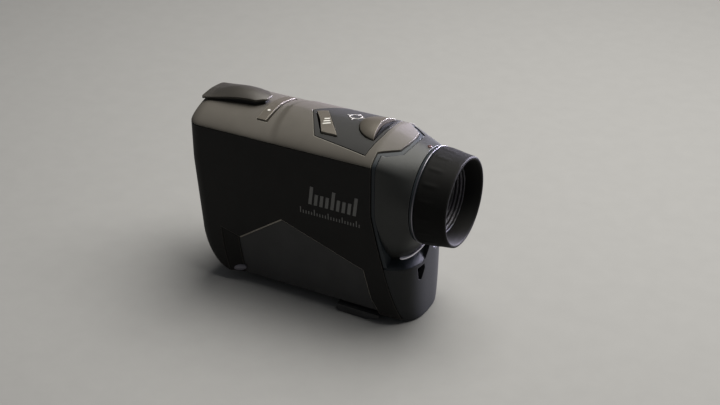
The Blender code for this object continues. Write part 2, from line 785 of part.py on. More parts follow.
def trim_frame():
    """Dark band along the turret's front edge, with a sloping ledge under the turret."""
    body = turret_body("trim_body", 22.0, RING_X - GAP, 0.4)
    join(body, rear_column("trim_sides", 0.5, SHOULDER_Z + 2 * GAP, AXIS_Z))
    cut(body, turret_body("trim_cavity", 20.0, RING_X + 2, TURRET_WALL + 0.2))
    keep(body, front_region("trim_rear_limit", TRIM_WIDTH))
    cut(body, front_region("trim_front_limit", GAP))

    ledge = loft("ledge", [stern_slice(*level) for level in LEDGE])
    turret = turret_body("ledge_turret", 22.0, RING_X - GAP, -GAP)
    cut(
        ledge,
        below_shoulder("ledge_floor", GAP),
        cut(turret, front_region("ledge_turret_front", TRIM_WIDTH - 0.1)),
        front_region("ledge_front_limit", 2 * GAP),
    )
    join(body, ledge)
    return part(body, "trim_frame", ((0.030, 0.036, 0.038), 0.3))


# ---------------------------------------------------------------- eyepiece

def diopter_ring():
    profile = [
        (RING_X, RING_R), (CUP_X - GAP, RING_R), (CUP_X - GAP, 15.0), (46.4, 15.0),
        (46.4, CELL_R + GAP), (36.5, CELL_R + GAP), (36.5, 15.4), (RING_X, 15.4),
    ]
    ring = part(turned("diopter_ring", profile), "diopter_ring", ((0.30, 0.30, 0.31), 0.3, 0.6))
    return hang_on(ring, "diopter_turn", (RING_X, 0.0, AXIS_Z))


def eyecup():
    profile = [
        (CUP_X, CUP_BASE_R), (RIM_X - 0.8, RIM_R + 0.1), (RIM_X, RIM_R - 0.4), (RIM_X, 15.9),
        (RIM_X - 0.6, 15.5), (46.8, 14.0), (46.8, 15.3), (CUP_X, 15.3),
    ]
    cup = part(turned("eyecup", profile, steps=48), "eyecup", ((0.022, 0.022, 0.022), 0.5))
    return hang_on(cup, "diopter_turn", (RING_X, 0.0, AXIS_Z))


def eyepiece_cell():
    """Sliding tube with the eyepiece lenses. Its rear end steps inwards as a light baffle."""
    steps = []
    for i, radius in enumerate((12.6, 11.6, 10.6)):
        steps += [(46.2 - 0.9 * i, radius), (45.3 - 0.9 * i, radius)]
    profile = [(31.0, CELL_R), (46.2, CELL_R)] + steps + [
        (43.5, 9.7), (37.4, 9.7), (37.4, 9.0), (36.4, 9.0), (36.4, 11.5), (31.0, 11.5),
    ]
    cell = part(turned("eyepiece_cell", profile, steps=28), "eyepiece_cell",
                ((0.030, 0.030, 0.033), 0.35))
    return hang_on(cell, "eyepiece_slide", (37.0, 0.0, AXIS_Z))


def lens(name, x, radius, edge, front_sag, rear_sag, look, z=AXIS_Z, steps=24):
    """A lens whose two faces bulge by their sags. x is the middle of its edge."""
    def face(sag, sign):
        return [
            (x + sign * (edge / 2 + sag * (1 - (radius * s) ** 2 / radius ** 2)), radius * s)
            for s in stations(0.0, 1.0, 4)
        ]
    profile = face(rear_sag, 1) + face(front_sag, -1)[::-1]
    return part(turned(name, profile, z=z, steps=steps, closed=False), name, look)


def optics():
    lens("objective_lens", -47.0, LENS_R, 2.6, 1.3, 0.6, COATED)
    lens("emitter_lens", -45.5, 6.9, 1.8, 0.9, 0.5, COATED, EMITTER_Z, 20)
    for name, x, radius, edge in (("eye_lens", 40.6, 9.4, 2.4), ("field_lens", 33.6, 11.2, 2.2)):
        hang_on(lens(name, x, radius, edge, 1.0, 1.0, GLASS), "eyepiece_slide", (37.0, 0.0, AXIS_Z))

    tube = turned("objective_tube", [(-50.4, TUBE_R), (5.0, TUBE_R), (5.0, TUBE_BORE_R),
                                     (-44.3, TUBE_BORE_R), (-44.3, 9.8), (-45.3, 9.8),
                                     (-45.3, TUBE_BORE_R), (-50.4, TUBE_BORE_R)])
    cut(tube, box("focus_slot", (FOCUS_X - 3.5, FOCUS_X + 12.0), (-2.2, 2.2), (34.0, 41.0)))
    part(tube, "objective_tube", ((0.02, 0.02, 0.02), 0.6))
    ring = [(-50.1, 10.8), (-48.9, 10.8), (-48.9, 9.6), (-50.1, 10.2)]
    retainer = turned("objective_retainer", ring, steps=28)
    part(retainer, "objective_retainer", ((0.05, 0.05, 0.05), 0.4))

    barrel = turned("emitter_barrel", [(-47.8, EMITTER_R + 0.4), (-29.0, EMITTER_R + 0.4), (-29.0, 4.8),
                                       (-30.6, 4.8), (-30.6, EMITTER_R - 0.4), (-43.6, EMITTER_R - 0.4),
                                       (-43.6, 6.2), (-44.2, 6.2), (-44.2, EMITTER_R - 0.4),
                                       (-47.8, EMITTER_R - 0.4)], z=EMITTER_Z, steps=24)
    part(barrel, "emitter_barrel", ((0.02, 0.02, 0.02), 0.6))
    diode = turned("laser_diode", [(-34.0, 0.0), (-34.0, 2.8), (-30.6, 2.8), (-30.6, 4.4), (-29.2, 4.4),
                                   (-29.2, 0.0)], z=EMITTER_Z, steps=20, closed=False)
    part(diode, "laser_diode", ((0.75, 0.62, 0.30), 0.3, 1.0))


def focus_drive():
    """Autofocus: a motor turns a lead screw that carries the focus cell along the tube."""
    cell = rod("focus_cell", "X", FOCUS_X - 2.5, FOCUS_X + 2.5, (0, AXIS_Z), TUBE_BORE_R - GAP, 32)
    join(cell, box("focus_arm", (FOCUS_X - 1.5, FOCUS_X + 1.5), (-1.7, 1.7), (SCREW_Z - 2.2, 41.0)))
    cut(
        cell,
        rod("focus_bore", "X", FOCUS_X - 9, FOCUS_X + 9, (0, AXIS_Z), 9.2, 28),
        rod("focus_nut", "X", FOCUS_X - 9, FOCUS_X + 9, (0, SCREW_Z), SCREW_R + 0.1, 16),
    )
    part(cell, "focus_cell", ((0.10, 0.10, 0.11), 0.4))
    hang_on(move_origin(cell, (FOCUS_X, 0, AXIS_Z)), "focus_slide", (FOCUS_X, 0, AXIS_Z))
    hang_on(lens("focus_lens", FOCUS_X, 8.9, 1.6, -0.5, -0.5, GLASS), "focus_slide",
            (FOCUS_X, 0, AXIS_Z))

    screw = rod("focus_screw", "X", -28.2, -3.9, (0, SCREW_Z), SCREW_R, 16)
    part(screw, "focus_screw", ((0.5, 0.5, 0.52), 0.3, 1.0))
    hang_on(move_origin(screw, (-16.0, 0, SCREW_Z)), "focus_screw_turn", (-16.0, 0, SCREW_Z))
    motor = rod("focus_motor", "X", -3.5, 8.0, (0, SCREW_Z), 3.1, 24)
    part(motor, "focus_motor", ((0.45, 0.45, 0.46), 0.35, 1.0))

    bracket = box("focus_bracket", (-28.0, 9.0), (-4.0, 4.0), (27.3, 28.6))
    join(bracket, box("ear_a", (-28.0, -26.6), (-3.0, 3.0), (27.3, 35.2)),
         box("ear_b", (-5.4, -4.1), (-3.0, 3.0), (27.3, 35.2)))
    cut(bracket, rod("ear_holes", "X", -30, 0, (0, SCREW_Z), SCREW_R + 0.1, 16))
    part(bracket, "focus_bracket", ((0.5, 0.5, 0.5), 0.4, 1.0))


def viewing_group():
    """Roof prism in its holder, the display on its rear focal plane and the echo sensor below."""
    holder = box("prism_holder", (6.2, 24.2), (-11.2, 11.2), (39.6, 60.6))
    cut(holder, box("holder_inside", (4.0, 26.0), (-10.0, 10.0), (40.8, 59.4)),
        rod("sensor_hole", "Z", 38.0, 42.0, (14.0, 0.0), 3.6, 20))
    part(holder, "prism_holder", ((0.06, 0.06, 0.06), 0.5))
    outline = [(7.0, 41.2), (18.5, 41.2), (23.4, 46.0), (23.4, 55.0), (18.5, 59.0), (7.0, 59.0)]
    part(prism("roof_prism", outline, -9.7, 9.7, "Y"), "roof_prism",
         ((0.65, 0.72, 0.76), 0.04, 0.0, 0.9), 20)
    part(box("display_module", (25.0, 26.8), (-9.5, 9.5), (41.0, 60.0)), "display_module",
         ((0.05, 0.09, 0.06), 0.3))
    sensor = turned("echo_sensor", [(0.0, 0.0), (0.0, 3.2), (2.9, 3.2), (2.9, 0.0)], x=14.0, z=36.6,
                    steps=20, closed=False)
    sensor.rotation_euler = (0.0, 0.0, 0.0)
    part(sensor, "echo_sensor", ((0.55, 0.50, 0.40), 0.3, 1.0))
    part(box("sensor_board", (9.5, 20.0), (-7.0, 7.0), (35.0, 36.2)), "sensor_board",
         ((0.02, 0.10, 0.05), 0.5))


# ---------------------------------------------------------------- power, boards and fasteners

def boards():
    board = box("main_board", (-24.0, 20.0), (11.4, 12.6), (14.2, 33.0))
    for x, z, wide, tall in ((-14.0, 24.0, 7.0, 7.0), (2.0, 27.0, 5.0, 5.0), (12.0, 20.0, 4.0, 6.0)):
        join(board, box("chip", (x - wide / 2, x + wide / 2), (10.2, 11.8), (z - tall / 2, z + tall / 2)))
    part(board, "main_board", ((0.02, 0.12, 0.06), 0.5))
    part(box("button_board", (-30.0, 24.0), (-12.0, 12.0), (64.9, 65.9)), "button_board",
         ((0.02, 0.12, 0.06), 0.5))
    for name, x, y in (("fire_switch", 18.0, 0.0), ("mode_switch", 0.6, -5.6), ("bar_switch", BAR_X, 0.0)):
        switch = box(name, (x - 2.2, x + 2.2), (y - 2.2, y + 2.2), (66.2, 67.4))
        join(switch, rod(name + "_stem", "Z", 67.0, BUTTON_FLOOR - 0.8, (x, y), 0.9, 12))
        part(switch, name, ((0.10, 0.10, 0.10), 0.5))


def battery_group():
    cell = turned(
        "battery",
        [(BATTERY_X, 0.0), (BATTERY_X, BATTERY_R), (BATTERY_X + 26.2, BATTERY_R), (BATTERY_X + 26.2, 3.2),
         (BATTERY_X + BATTERY_LENGTH, 3.2), (BATTERY_X + BATTERY_LENGTH, 0.0)],
        z=BATTERY_Z, steps=32, closed=False,
    )
    part(cell, "battery", ((0.10, 0.16, 0.30), 0.35))
    angles = [math.radians(a) for a in stations(-18.0, 198.0, 19)]
    arc = [(9.4 * math.cos(a), BATTERY_Z + 9.4 * math.sin(a)) for a in angles]
    arc += [(8.2 * math.cos(a), BATTERY_Z + 8.2 * math.sin(a)) for a in reversed(angles)]
    part(prism("battery_sleeve", arc, -21.0, 5.2, "X"), "battery_sleeve", ((0.03, 0.03, 0.03), 0.6))
    part(box("positive_contact", (5.9, 6.5), (-5.0, 5.0), (7.0, 16.0)), "positive_contact",
         ((0.70, 0.68, 0.62), 0.3, 1.0))
    part(box("negative_contact", (-26.2, -25.7), (-5.0, 5.0), (7.0, 16.0)), "negative_contact",
         ((0.70, 0.68, 0.62), 0.3, 1.0))
    coil("battery_spring", (-25.2, -22.1), BATTERY_Z, 0.35, (4.4, 2.4), 2.5)


def coil(name, span, z, wire, radii, turns):
    """A tapering coil along X, made as a poly curve and then turned into a mesh."""
    curve = bpy.data.curves.new(name, "CURVE")
    curve.dimensions = "3D"
    curve.bevel_depth = wire * MM
    curve.bevel_resolution = 1
    curve.use_fill_caps = True
    count = int(turns * 14)
    spline = curve.splines.new("POLY")
    spline.points.add(count)
    for i, point in enumerate(spline.points):
        share = i / count
        radius = radii[0] + (radii[1] - radii[0]) * share
        angle = 2 * math.pi * turns * share
        x = span[0] + (span[1] - span[0]) * share
        point.co = (x * MM, radius * math.cos(angle) * MM, (z + radius * math.sin(angle)) * MM, 1.0)
    guide = bpy.data.objects.new(name + "_guide", curve)
    CUTTERS.objects.link(guide)
    bpy.context.view_layer.update()
    mesh = bpy.data.meshes.new_from_object(guide.evaluated_get(bpy.context.evaluated_depsgraph_get()))
    bm = bmesh.new()
    bm.from_mesh(mesh)
    bmesh.ops.remove_doubles(bm, verts=bm.verts, dist=0.000001)
    bmesh.ops.recalc_face_normals(bm, faces=bm.faces)
    bm.to_mesh(mesh)
    bm.free()
    obj = bpy.data.objects.new(name, mesh)
    obj.matrix_world = guide.matrix_world
    CUTTERS.objects.link(obj)
    bpy.data.objects.remove(guide)
    return part(obj, name, ((0.72, 0.70, 0.66), 0.3, 1.0))


def battery_door():
    """Lid in the keel. Its front edge turns on a pin, and its underside is the keel's flat."""
    side = [
        (HINGE_X - 1.9, 2.4), (HINGE_X - 1.9, 1.6), (HINGE_X - 0.6, 0.0), (DOOR_REAR_X, 0.0),
        (DOOR_REAR_X, 2.4),
    ]
    slope = LEG_Z / (SHELL_Y - KEEL_HALF)
    edge = (DOOR_HALF - KEEL_HALF) * slope
    section = [(-DOOR_HALF, 2.4), (-DOOR_HALF, edge), (-KEEL_HALF, 0.0), (KEEL_HALF, 0.0),
               (DOOR_HALF, edge), (DOOR_HALF, 2.4)]
    door = prism("battery_door", side, -20.0, 20.0, "Y")
    keep(door, prism("door_section", section, -60.0, 40.0, "X"))
    hinge = (HINGE_X, HINGE_Z)
    join(door, rod("knuckle", "Y", -DOOR_HALF, DOOR_HALF, hinge, 1.7, 20),
         box("catch", (6.8, 8.0), (-3.0, 3.0), (2.0, 5.0)))
    cut(door, rod("pin_bore", "Y", -20, 20, hinge, 0.78, 16))
    part(door, "battery_door", ((0.028, 0.028, 0.028), 0.55))
    hang_on(move_origin(door, (hinge[0], 0.0, hinge[1])), "battery_door_hinge", (hinge[0], 0.0, hinge[1]))
    pin = rod("door_hinge_pin", "Y", -10.8, 10.8, hinge, 0.7, 16)
    part(pin, "door_hinge_pin", ((0.6, 0.6, 0.62), 0.25, 1.0))


def door_latch():
    """Wide thumb slide behind the door. Its neck runs in a slot and its head keeps it in."""
    low, high = LATCH_X
    side = [(low, 0.9), (low + 1.2, 0.0), (high - 5.6, 0.0), (high - 0.6, 1.9), (high, LATCH_TOP),
            (low, LATCH_TOP)]
    latch = prism("door_latch", side, -LATCH_HALF, LATCH_HALF, "Y")
    join(latch, box("latch_neck", (18.0, 24.0), (-2.5, 2.5), (2.0, 8.0)),
         box("latch_head", (17.2, 24.8), (-4.0, 4.0), (6.6, 9.0)))
    part(latch, "door_latch", ((0.05, 0.05, 0.05), 0.5))
    return hang_on(move_origin(latch, (20.0, 0.0, 0.0)), "latch_slide", (20.0, 0.0, 0.0))


def case_screws():
    """Four screws clamp the right casing half to the left one, under the armour."""
    for number, (x, z) in enumerate(CASE_SCREWS, 1):
        name = f"case_screw_{number}"
        screw = rod(name, "Y", -13.6, 15.2, (x, z), 1.0, 12)
        join(screw, rod("screw_head", "Y", 14.8, 15.9, (x, z), 1.8, 16))
        cut(screw, rod("screw_socket", "Y", 15.3, 17.0, (x, z), 0.8, 6))
        part(screw, name, ((0.55, 0.55, 0.57), 0.3, 1.0))


def main():
    clear_scene()
    make_collections()
    for side in (-1, 1):
        shell(side)
        armour(side)
    front_bezel()
    top_cover()
    control_panel()
    front_hood()
    fire_parts()
    other_buttons()
    rear_cover()
    strap_bar()
    eyepiece_turret()
    trim_frame()
    diopter_ring()
    eyecup()
    eyepiece_cell()
    optics()
    focus_drive()
    viewing_group()
    boards()
    battery_group()
    battery_door()
    door_latch()
    case_screws()


main()
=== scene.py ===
"""Looks for the handheld laser rangefinder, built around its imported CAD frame.

The casings, keys, turret, eyecup, lenses and latch are rebuilt as fine surfaces from the same few
dimensions, so that each fits its CAD node. Every other CAD node is shown with a procedural finish.
Lengths below are in millimetres, and put() turns them into metres.
"""

import json
import math

import bmesh
import bpy
from mathutils import Matrix, Vector


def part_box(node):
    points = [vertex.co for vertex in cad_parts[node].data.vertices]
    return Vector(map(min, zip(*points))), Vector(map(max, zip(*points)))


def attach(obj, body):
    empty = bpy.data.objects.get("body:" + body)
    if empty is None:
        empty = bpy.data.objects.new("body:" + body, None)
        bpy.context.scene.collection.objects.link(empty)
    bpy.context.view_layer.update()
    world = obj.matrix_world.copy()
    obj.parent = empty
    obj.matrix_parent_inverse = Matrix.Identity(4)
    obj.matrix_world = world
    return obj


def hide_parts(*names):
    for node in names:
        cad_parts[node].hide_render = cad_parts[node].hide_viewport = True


MM = 0.001
GAP = 0.3

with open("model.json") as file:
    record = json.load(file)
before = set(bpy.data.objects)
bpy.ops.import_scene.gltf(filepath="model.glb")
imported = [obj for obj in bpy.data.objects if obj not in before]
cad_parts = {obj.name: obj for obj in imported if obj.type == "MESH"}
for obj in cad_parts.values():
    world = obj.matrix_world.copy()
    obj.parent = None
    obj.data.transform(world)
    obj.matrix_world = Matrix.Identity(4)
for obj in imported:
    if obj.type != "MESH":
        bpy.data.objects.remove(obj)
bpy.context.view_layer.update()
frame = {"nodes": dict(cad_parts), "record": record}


def span(node, axis):
    """Lowest and highest coordinate of a CAD node along an axis, in millimetres."""
    low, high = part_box(node)
    return low["XYZ".index(axis)] / MM, high["XYZ".index(axis)] / MM


# Driving dimensions from the frame
FRONT_X = span("top_cover", "X")[0]
RIM_X = span("eyecup", "X")[1]
AXIS_Z = sum(span("eyecup", "Z")) / 2
HALF_WIDTH = -span("left_armour", "Y")[0]
SHELL_Y = -span("left_shell", "Y")[0]
SEAM_Z = span("left_armour", "Z")[1] + GAP / 2
TOP_Z = SEAM_Z + GAP / 2
CUP_X = span("eyecup", "X")[0]
RING_X = CUP_X - 1.7
RING_R = span("diopter_ring", "Z")[1] - AXIS_Z
CUP_R = span("eyecup", "Z")[1] - AXIS_Z

# Nose, sides and stern
LEG_Z = 4.7
NOSE_RAKE = 0.085
NOSE_CORNER_X = 9.0
NOSE_CORNER_Z = 16.0
PLAN_CORNER = 6.0
REAR_X = 25.0
REAR_SWEEP = 10.6
REAR_SWEEP_Z = 46.0
ARMOUR_WALL = 2.0
ARMOUR_INNER_Y = 12.2
ARCH_LIP = 0.6
# Front end of the painted highlight on the arch's chamfer
LIP_HIGHLIGHT_FRONT_X = -32.0
STERN_X = 25.0
STERN_INSET = 0.2
STERN_BACK = span("rear_cover", "X")[1] + STERN_INSET
STERN_POWER = 0.7
STERN_LOW = 0.2
STERN_TUCK = 4.0
STERN_TUCK_Z = 24.0
STERN_WALL = 1.8
SHOULDER_Z = 24.7
LEDGE_CLEAR = 0.06

# Top cover, hood and keys
TOP_WALL = 2.4
CROWN_FRONT = 6.2
CROWN_REAR = 7.4
CROWN_POWER = 1.5
NOSE_DROP = 0.22
NOSE_DROP_LENGTH = 4.5
FOLD_X = (-17.0, -13.2)
FOLD_SLANT = 3.5
TONGUE_X = 32.8
PANEL_DEPTH = 0.8
BUTTON_FLOOR = 68.8
HOOD_HALF = 7.2
HOOD_REAR_X = -27.3
HOOD_MIDDLE_X = -39.0
HOOD_REACH = 12
HOOD_DROP = 0.8
HOOD_FLARE = 0.4
HOOD_SWELL = 2.3
SWELL_X = -36
SWELL_REACH = 14
RIDGE_X = 20.3
RIDGE_BOW = 0.9
KEY_HALF = 9.2

# Eyepiece and lenses
CHIN = 29.0
CHIN_POWER = 2.5
CHIN_BLEND = 3.2
TURRET_END_X = RING_X - GAP
TURRET_END_R = RING_R - 0.4
TURRET_WALL = 2.2
TRIM_WIDTH = 1.5
BEAD_R = 0.8
BEAD_SWELL = 0.7
RIM_R = 17.0
CELL_R = 13.2
TUBE_REAR_X = 48.0
LENS_R = 10.6
EMITTER_Z = 24.0
EMITTER_R = 7.6

# Cutters reach past the body on every side
FAR = 80.0
WIDE = 30.0
BELOW_Z = -10.0
ABOVE_Z = 90.0
COLUMN_LOW = 60.0
COLUMN_HIGH = 95.0
THROUGH = 40.0

ARCH_STEPS = 96
TURRET_STEPS = 192
WELD = 0.002
SHARP_ANGLE = 30.0
BEVEL_ANGLE = 40
WORLD_LIGHT = 0.10
WALL_LIGHT = 0.62

HELPERS = []


# ---- mesh helpers

def linked(name, data):
    """A new object in the scene."""
    obj = bpy.data.objects.new(name, data)
    bpy.context.scene.collection.objects.link(obj)
    return obj


def put(bm):
    """A helper object in metres from a bmesh in millimetres. piece() bakes it and clears the helpers."""
    bmesh.ops.remove_doubles(bm, verts=bm.verts, dist=WELD)
    bmesh.ops.scale(bm, vec=Vector((MM, MM, MM)), verts=bm.verts)
    bmesh.ops.recalc_face_normals(bm, faces=bm.faces)
    mesh = bpy.data.meshes.new("helper")
    bm.to_mesh(mesh)
    bm.free()
    obj = linked("helper", mesh)
    obj.hide_render = True
    HELPERS.append(obj)
    return obj


def stations(low, high, count):
    """Evenly spaced values from low to high."""
    return [low + (high - low) * i / (count - 1) for i in range(count)]


def full_turn(count):
    """Evenly spaced angles round a circle."""
    return stations(0.0, 2 * math.pi, count + 1)[:-1]


def circle(centre, radius, count):
    """Outline of a circle in plan."""
    x, y = centre
    return [(x + radius * math.cos(a), y + radius * math.sin(a)) for a in full_turn(count)]


def mirrored(half):
    """The other half of a plan outline, in reverse order."""
    return [(x, -y) for x, y in reversed(half)]


def loft(rings):
    """A closed quad mesh through rings that all have the same number of points."""
    bm = bmesh.new()
    rows = [[bm.verts.new(point) for point in ring] for ring in rings]
    for first, second in zip(rows, rows[1:]):
        for i in range(len(first)):
            bm.faces.new((first[i - 1], first[i], second[i], second[i - 1]))
    bm.faces.new(rows[0])
    bm.faces.new(rows[-1])
    return put(bm)


def prism(outline, low, high, axis):
    """A flat outline pushed along an axis: (x, z) outlines along Y, (x, y) along Z, (y, z) along X."""
    place = {
        "X": lambda a, b, c: (c, a, b),
        "Y": lambda a, b, c: (a, c, b),
        "Z": lambda a, b, c: (a, b, c),
    }[axis]
    return loft([[place(a, b, level) for a, b in outline] for level in (low, high)])


def box(x, y, z):
    corners = [(x[0], y[0]), (x[1], y[0]), (x[1], y[1]), (x[0], y[1])]
    return prism(corners, z[0], z[1], "Z")


def column(outline, low=COLUMN_LOW):
    """A plan outline pushed up through the top cover."""
    return prism(outline, low, COLUMN_HIGH, "Z")


def through(outline):
    """A side outline pushed right through the body."""
    return prism(outline, -THROUGH, THROUGH, "Y")


def turned(profile, z=AXIS_Z, steps=128, swell=None):
    """A closed (x, radius) profile turned round an axis along X, plus swell(x, radius, angle)."""
    bm = bmesh.new()
    rows = []
    for x, radius in profile:
        row = []
        for i in range(steps):
            angle = 2 * math.pi * i / steps
            r = radius + (swell(x, radius, angle) if swell else 0.0)
            row.append(bm.verts.new((x, r * math.cos(angle), z + r * math.sin(angle))))
        rows.append(row)
    for k, row in enumerate(rows):
        before = rows[k - 1]
        for i in range(steps):
            bm.faces.new((before[i - 1], before[i], row[i], row[i - 1]))
    return put(bm)


def fillet(points, radius, steps=4):
    """The closed outline with each corner replaced by a short curve."""
    found = []
    count = len(points)
    for i in range(count):
        here = Vector(points[i])
        before, after = Vector(points[i - 1]), Vector(points[(i + 1) % count])
        start = here + (before - here) * min(0.45, radius / max(1e-6, (before - here).length))
        end = here + (after - here) * min(0.45, radius / max(1e-6, (after - here).length))
        for t in stations(0.0, 1.0, steps + 1):
            found.append(tuple(start * (1 - t) ** 2 + here * 2 * t * (1 - t) + end * t * t))
    return found


def grown(outline, by):
    """Offset an outline outwards, corner by corner."""
    count = len(outline)
    area = sum(
        outline[i - 1][0] * outline[i][1] - outline[i][0] * outline[i - 1][1] for i in range(count)
    )
    turn = 1 if area > 0 else -1
    found = []
    for i in range(count):
        before, here, after = outline[i - 1], outline[i], outline[(i + 1) % count]
        a = Vector((here[0] - before[0], here[1] - before[1])).normalized()
        b = Vector((after[0] - here[0], after[1] - here[1])).normalized()
        out = Vector(((a.y + b.y), -(a.x + b.x))).normalized() * turn
        reach = by / max(0.35, out.dot(Vector((a.y, -a.x)) * turn))
        found.append((here[0] + out.x * reach, here[1] + out.y * reach))
    return found


def combine(obj, other, how):
    step = obj.modifiers.new(how.lower(), "BOOLEAN")
    step.operation = how
    step.solver = "EXACT"
    step.object = other
    return obj


def cut(obj, *others):
    for other in others:
        combine(obj, other, "DIFFERENCE")
    return obj


def join(obj, *others):
    for other in others:
        combine(obj, other, "UNION")
    return obj


def keep(obj, other):
    return combine(obj, other, "INTERSECT")


def piece(obj, name, body, look, stands_for=(), edge=0.0):
    """Bake a helper, give it its finish and let it ride."""
    bpy.context.view_layer.update()
    graph = bpy.context.evaluated_depsgraph_get()
    mesh = bpy.data.meshes.new_from_object(obj.evaluated_get(graph))
    mesh.name = name
    bm = bmesh.new()
    bm.from_mesh(mesh)
    bmesh.ops.remove_doubles(bm, verts=bm.verts, dist=2 * WELD * MM)
    bmesh.ops.dissolve_degenerate(bm, edges=bm.edges, dist=WELD * MM)
    bm.to_mesh(mesh)
    bm.free()
    made = linked(name, mesh)
    for helper in HELPERS:
        bpy.data.objects.remove(helper)
    HELPERS.clear()
    mesh.materials.clear()
    mesh.materials.append(LOOKS[look])
    mesh.shade_smooth()
    mesh.set_sharp_from_angle(angle=math.radians(SHARP_ANGLE))
    if edge:
        step = made.modifiers.new("edge", "BEVEL")
        step.width = edge * MM
        step.segments = 3
        step.limit_method = "ANGLE"
        step.angle_limit = math.radians(BEVEL_ANGLE)
        step.harden_normals = True
    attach(made, body)
    if stands_for:
        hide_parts(*stands_for)
    return made


# ---- finishes

def finish(name, colour, roughness, metallic=0.0, grain=0.45, depth=0.02, mottle=0.10, edge_highlight=None,
           specular=0.5, coat=0.0, edge=0.25, brushed=None, transmission=0.0):
    """Procedural surface: mottled colour, fine grain in the relief and the gloss, softened edges and a
    painted highlight on them.

    grain is the grain's size, depth its height and edge the soft edges' radius, all in millimetres.
    The edge colour is a painted highlight laid along sharp edges, and brushed squeezes the grain along
    each axis.
    """
    look = bpy.data.materials.new(name)
    look.use_nodes = True
    nodes, links = look.node_tree.nodes, look.node_tree.links
    shader = nodes["Principled BSDF"]
    place = nodes.new("ShaderNodeTexCoord").outputs["Object"]
    if brushed:
        stretch = nodes.new("ShaderNodeMapping")
        stretch.inputs["Scale"].default_value = brushed
        links.new(place, stretch.inputs["Vector"])
        place = stretch.outputs["Vector"]

    def noise(size, detail):
        made = nodes.new("ShaderNodeTexNoise")
        made.inputs["Scale"].default_value = 1.0 / (size * MM)
        made.inputs["Detail"].default_value = detail
        links.new(place, made.inputs["Vector"])
        return made.outputs["Fac"]

    def spread(value, low, high):
        made = nodes.new("ShaderNodeMapRange")
        made.inputs["From Min"].default_value = 0.3
        made.inputs["From Max"].default_value = 0.7
        made.inputs["To Min"].default_value = low
        made.inputs["To Max"].default_value = high
        links.new(value, made.inputs["Value"])
        return made.outputs["Result"]

    def mixed(kind, factor, a, b):
        made = nodes.new("ShaderNodeMix")
        made.data_type = "RGBA"
        made.blend_type = kind
        for socket, value in (("Factor", factor), ("A", a), ("B", b)):
            found = [s for s in made.inputs if s.name == socket and s.enabled][-1]
            if isinstance(value, (tuple, float)):
                found.default_value = value
            else:
                links.new(value, found)
        return [s for s in made.outputs if s.enabled][-1]

    broad = noise(9.0, 3.0)
    fine = noise(grain, 4.0)
    shade = mixed("MULTIPLY", 1.0, (*colour, 1.0), spread(broad, 1 - mottle, 1 + mottle))
    shade = mixed("MULTIPLY", 1.0, shade, spread(fine, 1 - mottle * 0.7, 1 + mottle * 0.7))

    soft = nodes.new("ShaderNodeBevel")
    soft.samples = 4
    soft.inputs["Radius"].default_value = edge * MM
    # Painted highlight: sharp edges are lightened towards the edge colour.
    if edge_highlight:
        flat = nodes.new("ShaderNodeNewGeometry")
        turn = nodes.new("ShaderNodeVectorMath")
        turn.operation = "DOT_PRODUCT"
        links.new(soft.outputs["Normal"], turn.inputs[0])
        links.new(flat.outputs["Normal"], turn.inputs[1])
        highlight_mask = nodes.new("ShaderNodeMapRange")
        highlight_mask.inputs["From Min"].default_value = 0.995
        highlight_mask.inputs["From Max"].default_value = 0.90
        highlight_mask.inputs["To Max"].default_value = 0.75
        links.new(turn.outputs["Value"], highlight_mask.inputs["Value"])
        shade = mixed("MIX", highlight_mask.outputs["Result"], shade, (*edge_highlight, 1.0))
    links.new(shade, shader.inputs["Base Color"])
    links.new(spread(fine, roughness * 0.88, min(1.0, roughness * 1.12)), shader.inputs["Roughness"])

    bump = nodes.new("ShaderNodeBump")
    bump.inputs["Distance"].default_value = depth * MM
    bump.inputs["Strength"].default_value = 0.6
    links.new(fine, bump.inputs["Height"])
    links.new(soft.outputs["Normal"], bump.inputs["Normal"])
    links.new(bump.outputs["Normal"], shader.inputs["Normal"])
    shader.inputs["Metallic"].default_value = metallic
    shader.inputs["Specular IOR Level"].default_value = specular
    shader.inputs["Coat Weight"].default_value = coat
    shader.inputs["Coat Roughness"].default_value = 0.2
    shader.inputs["Transmission Weight"].default_value = transmission
    return look
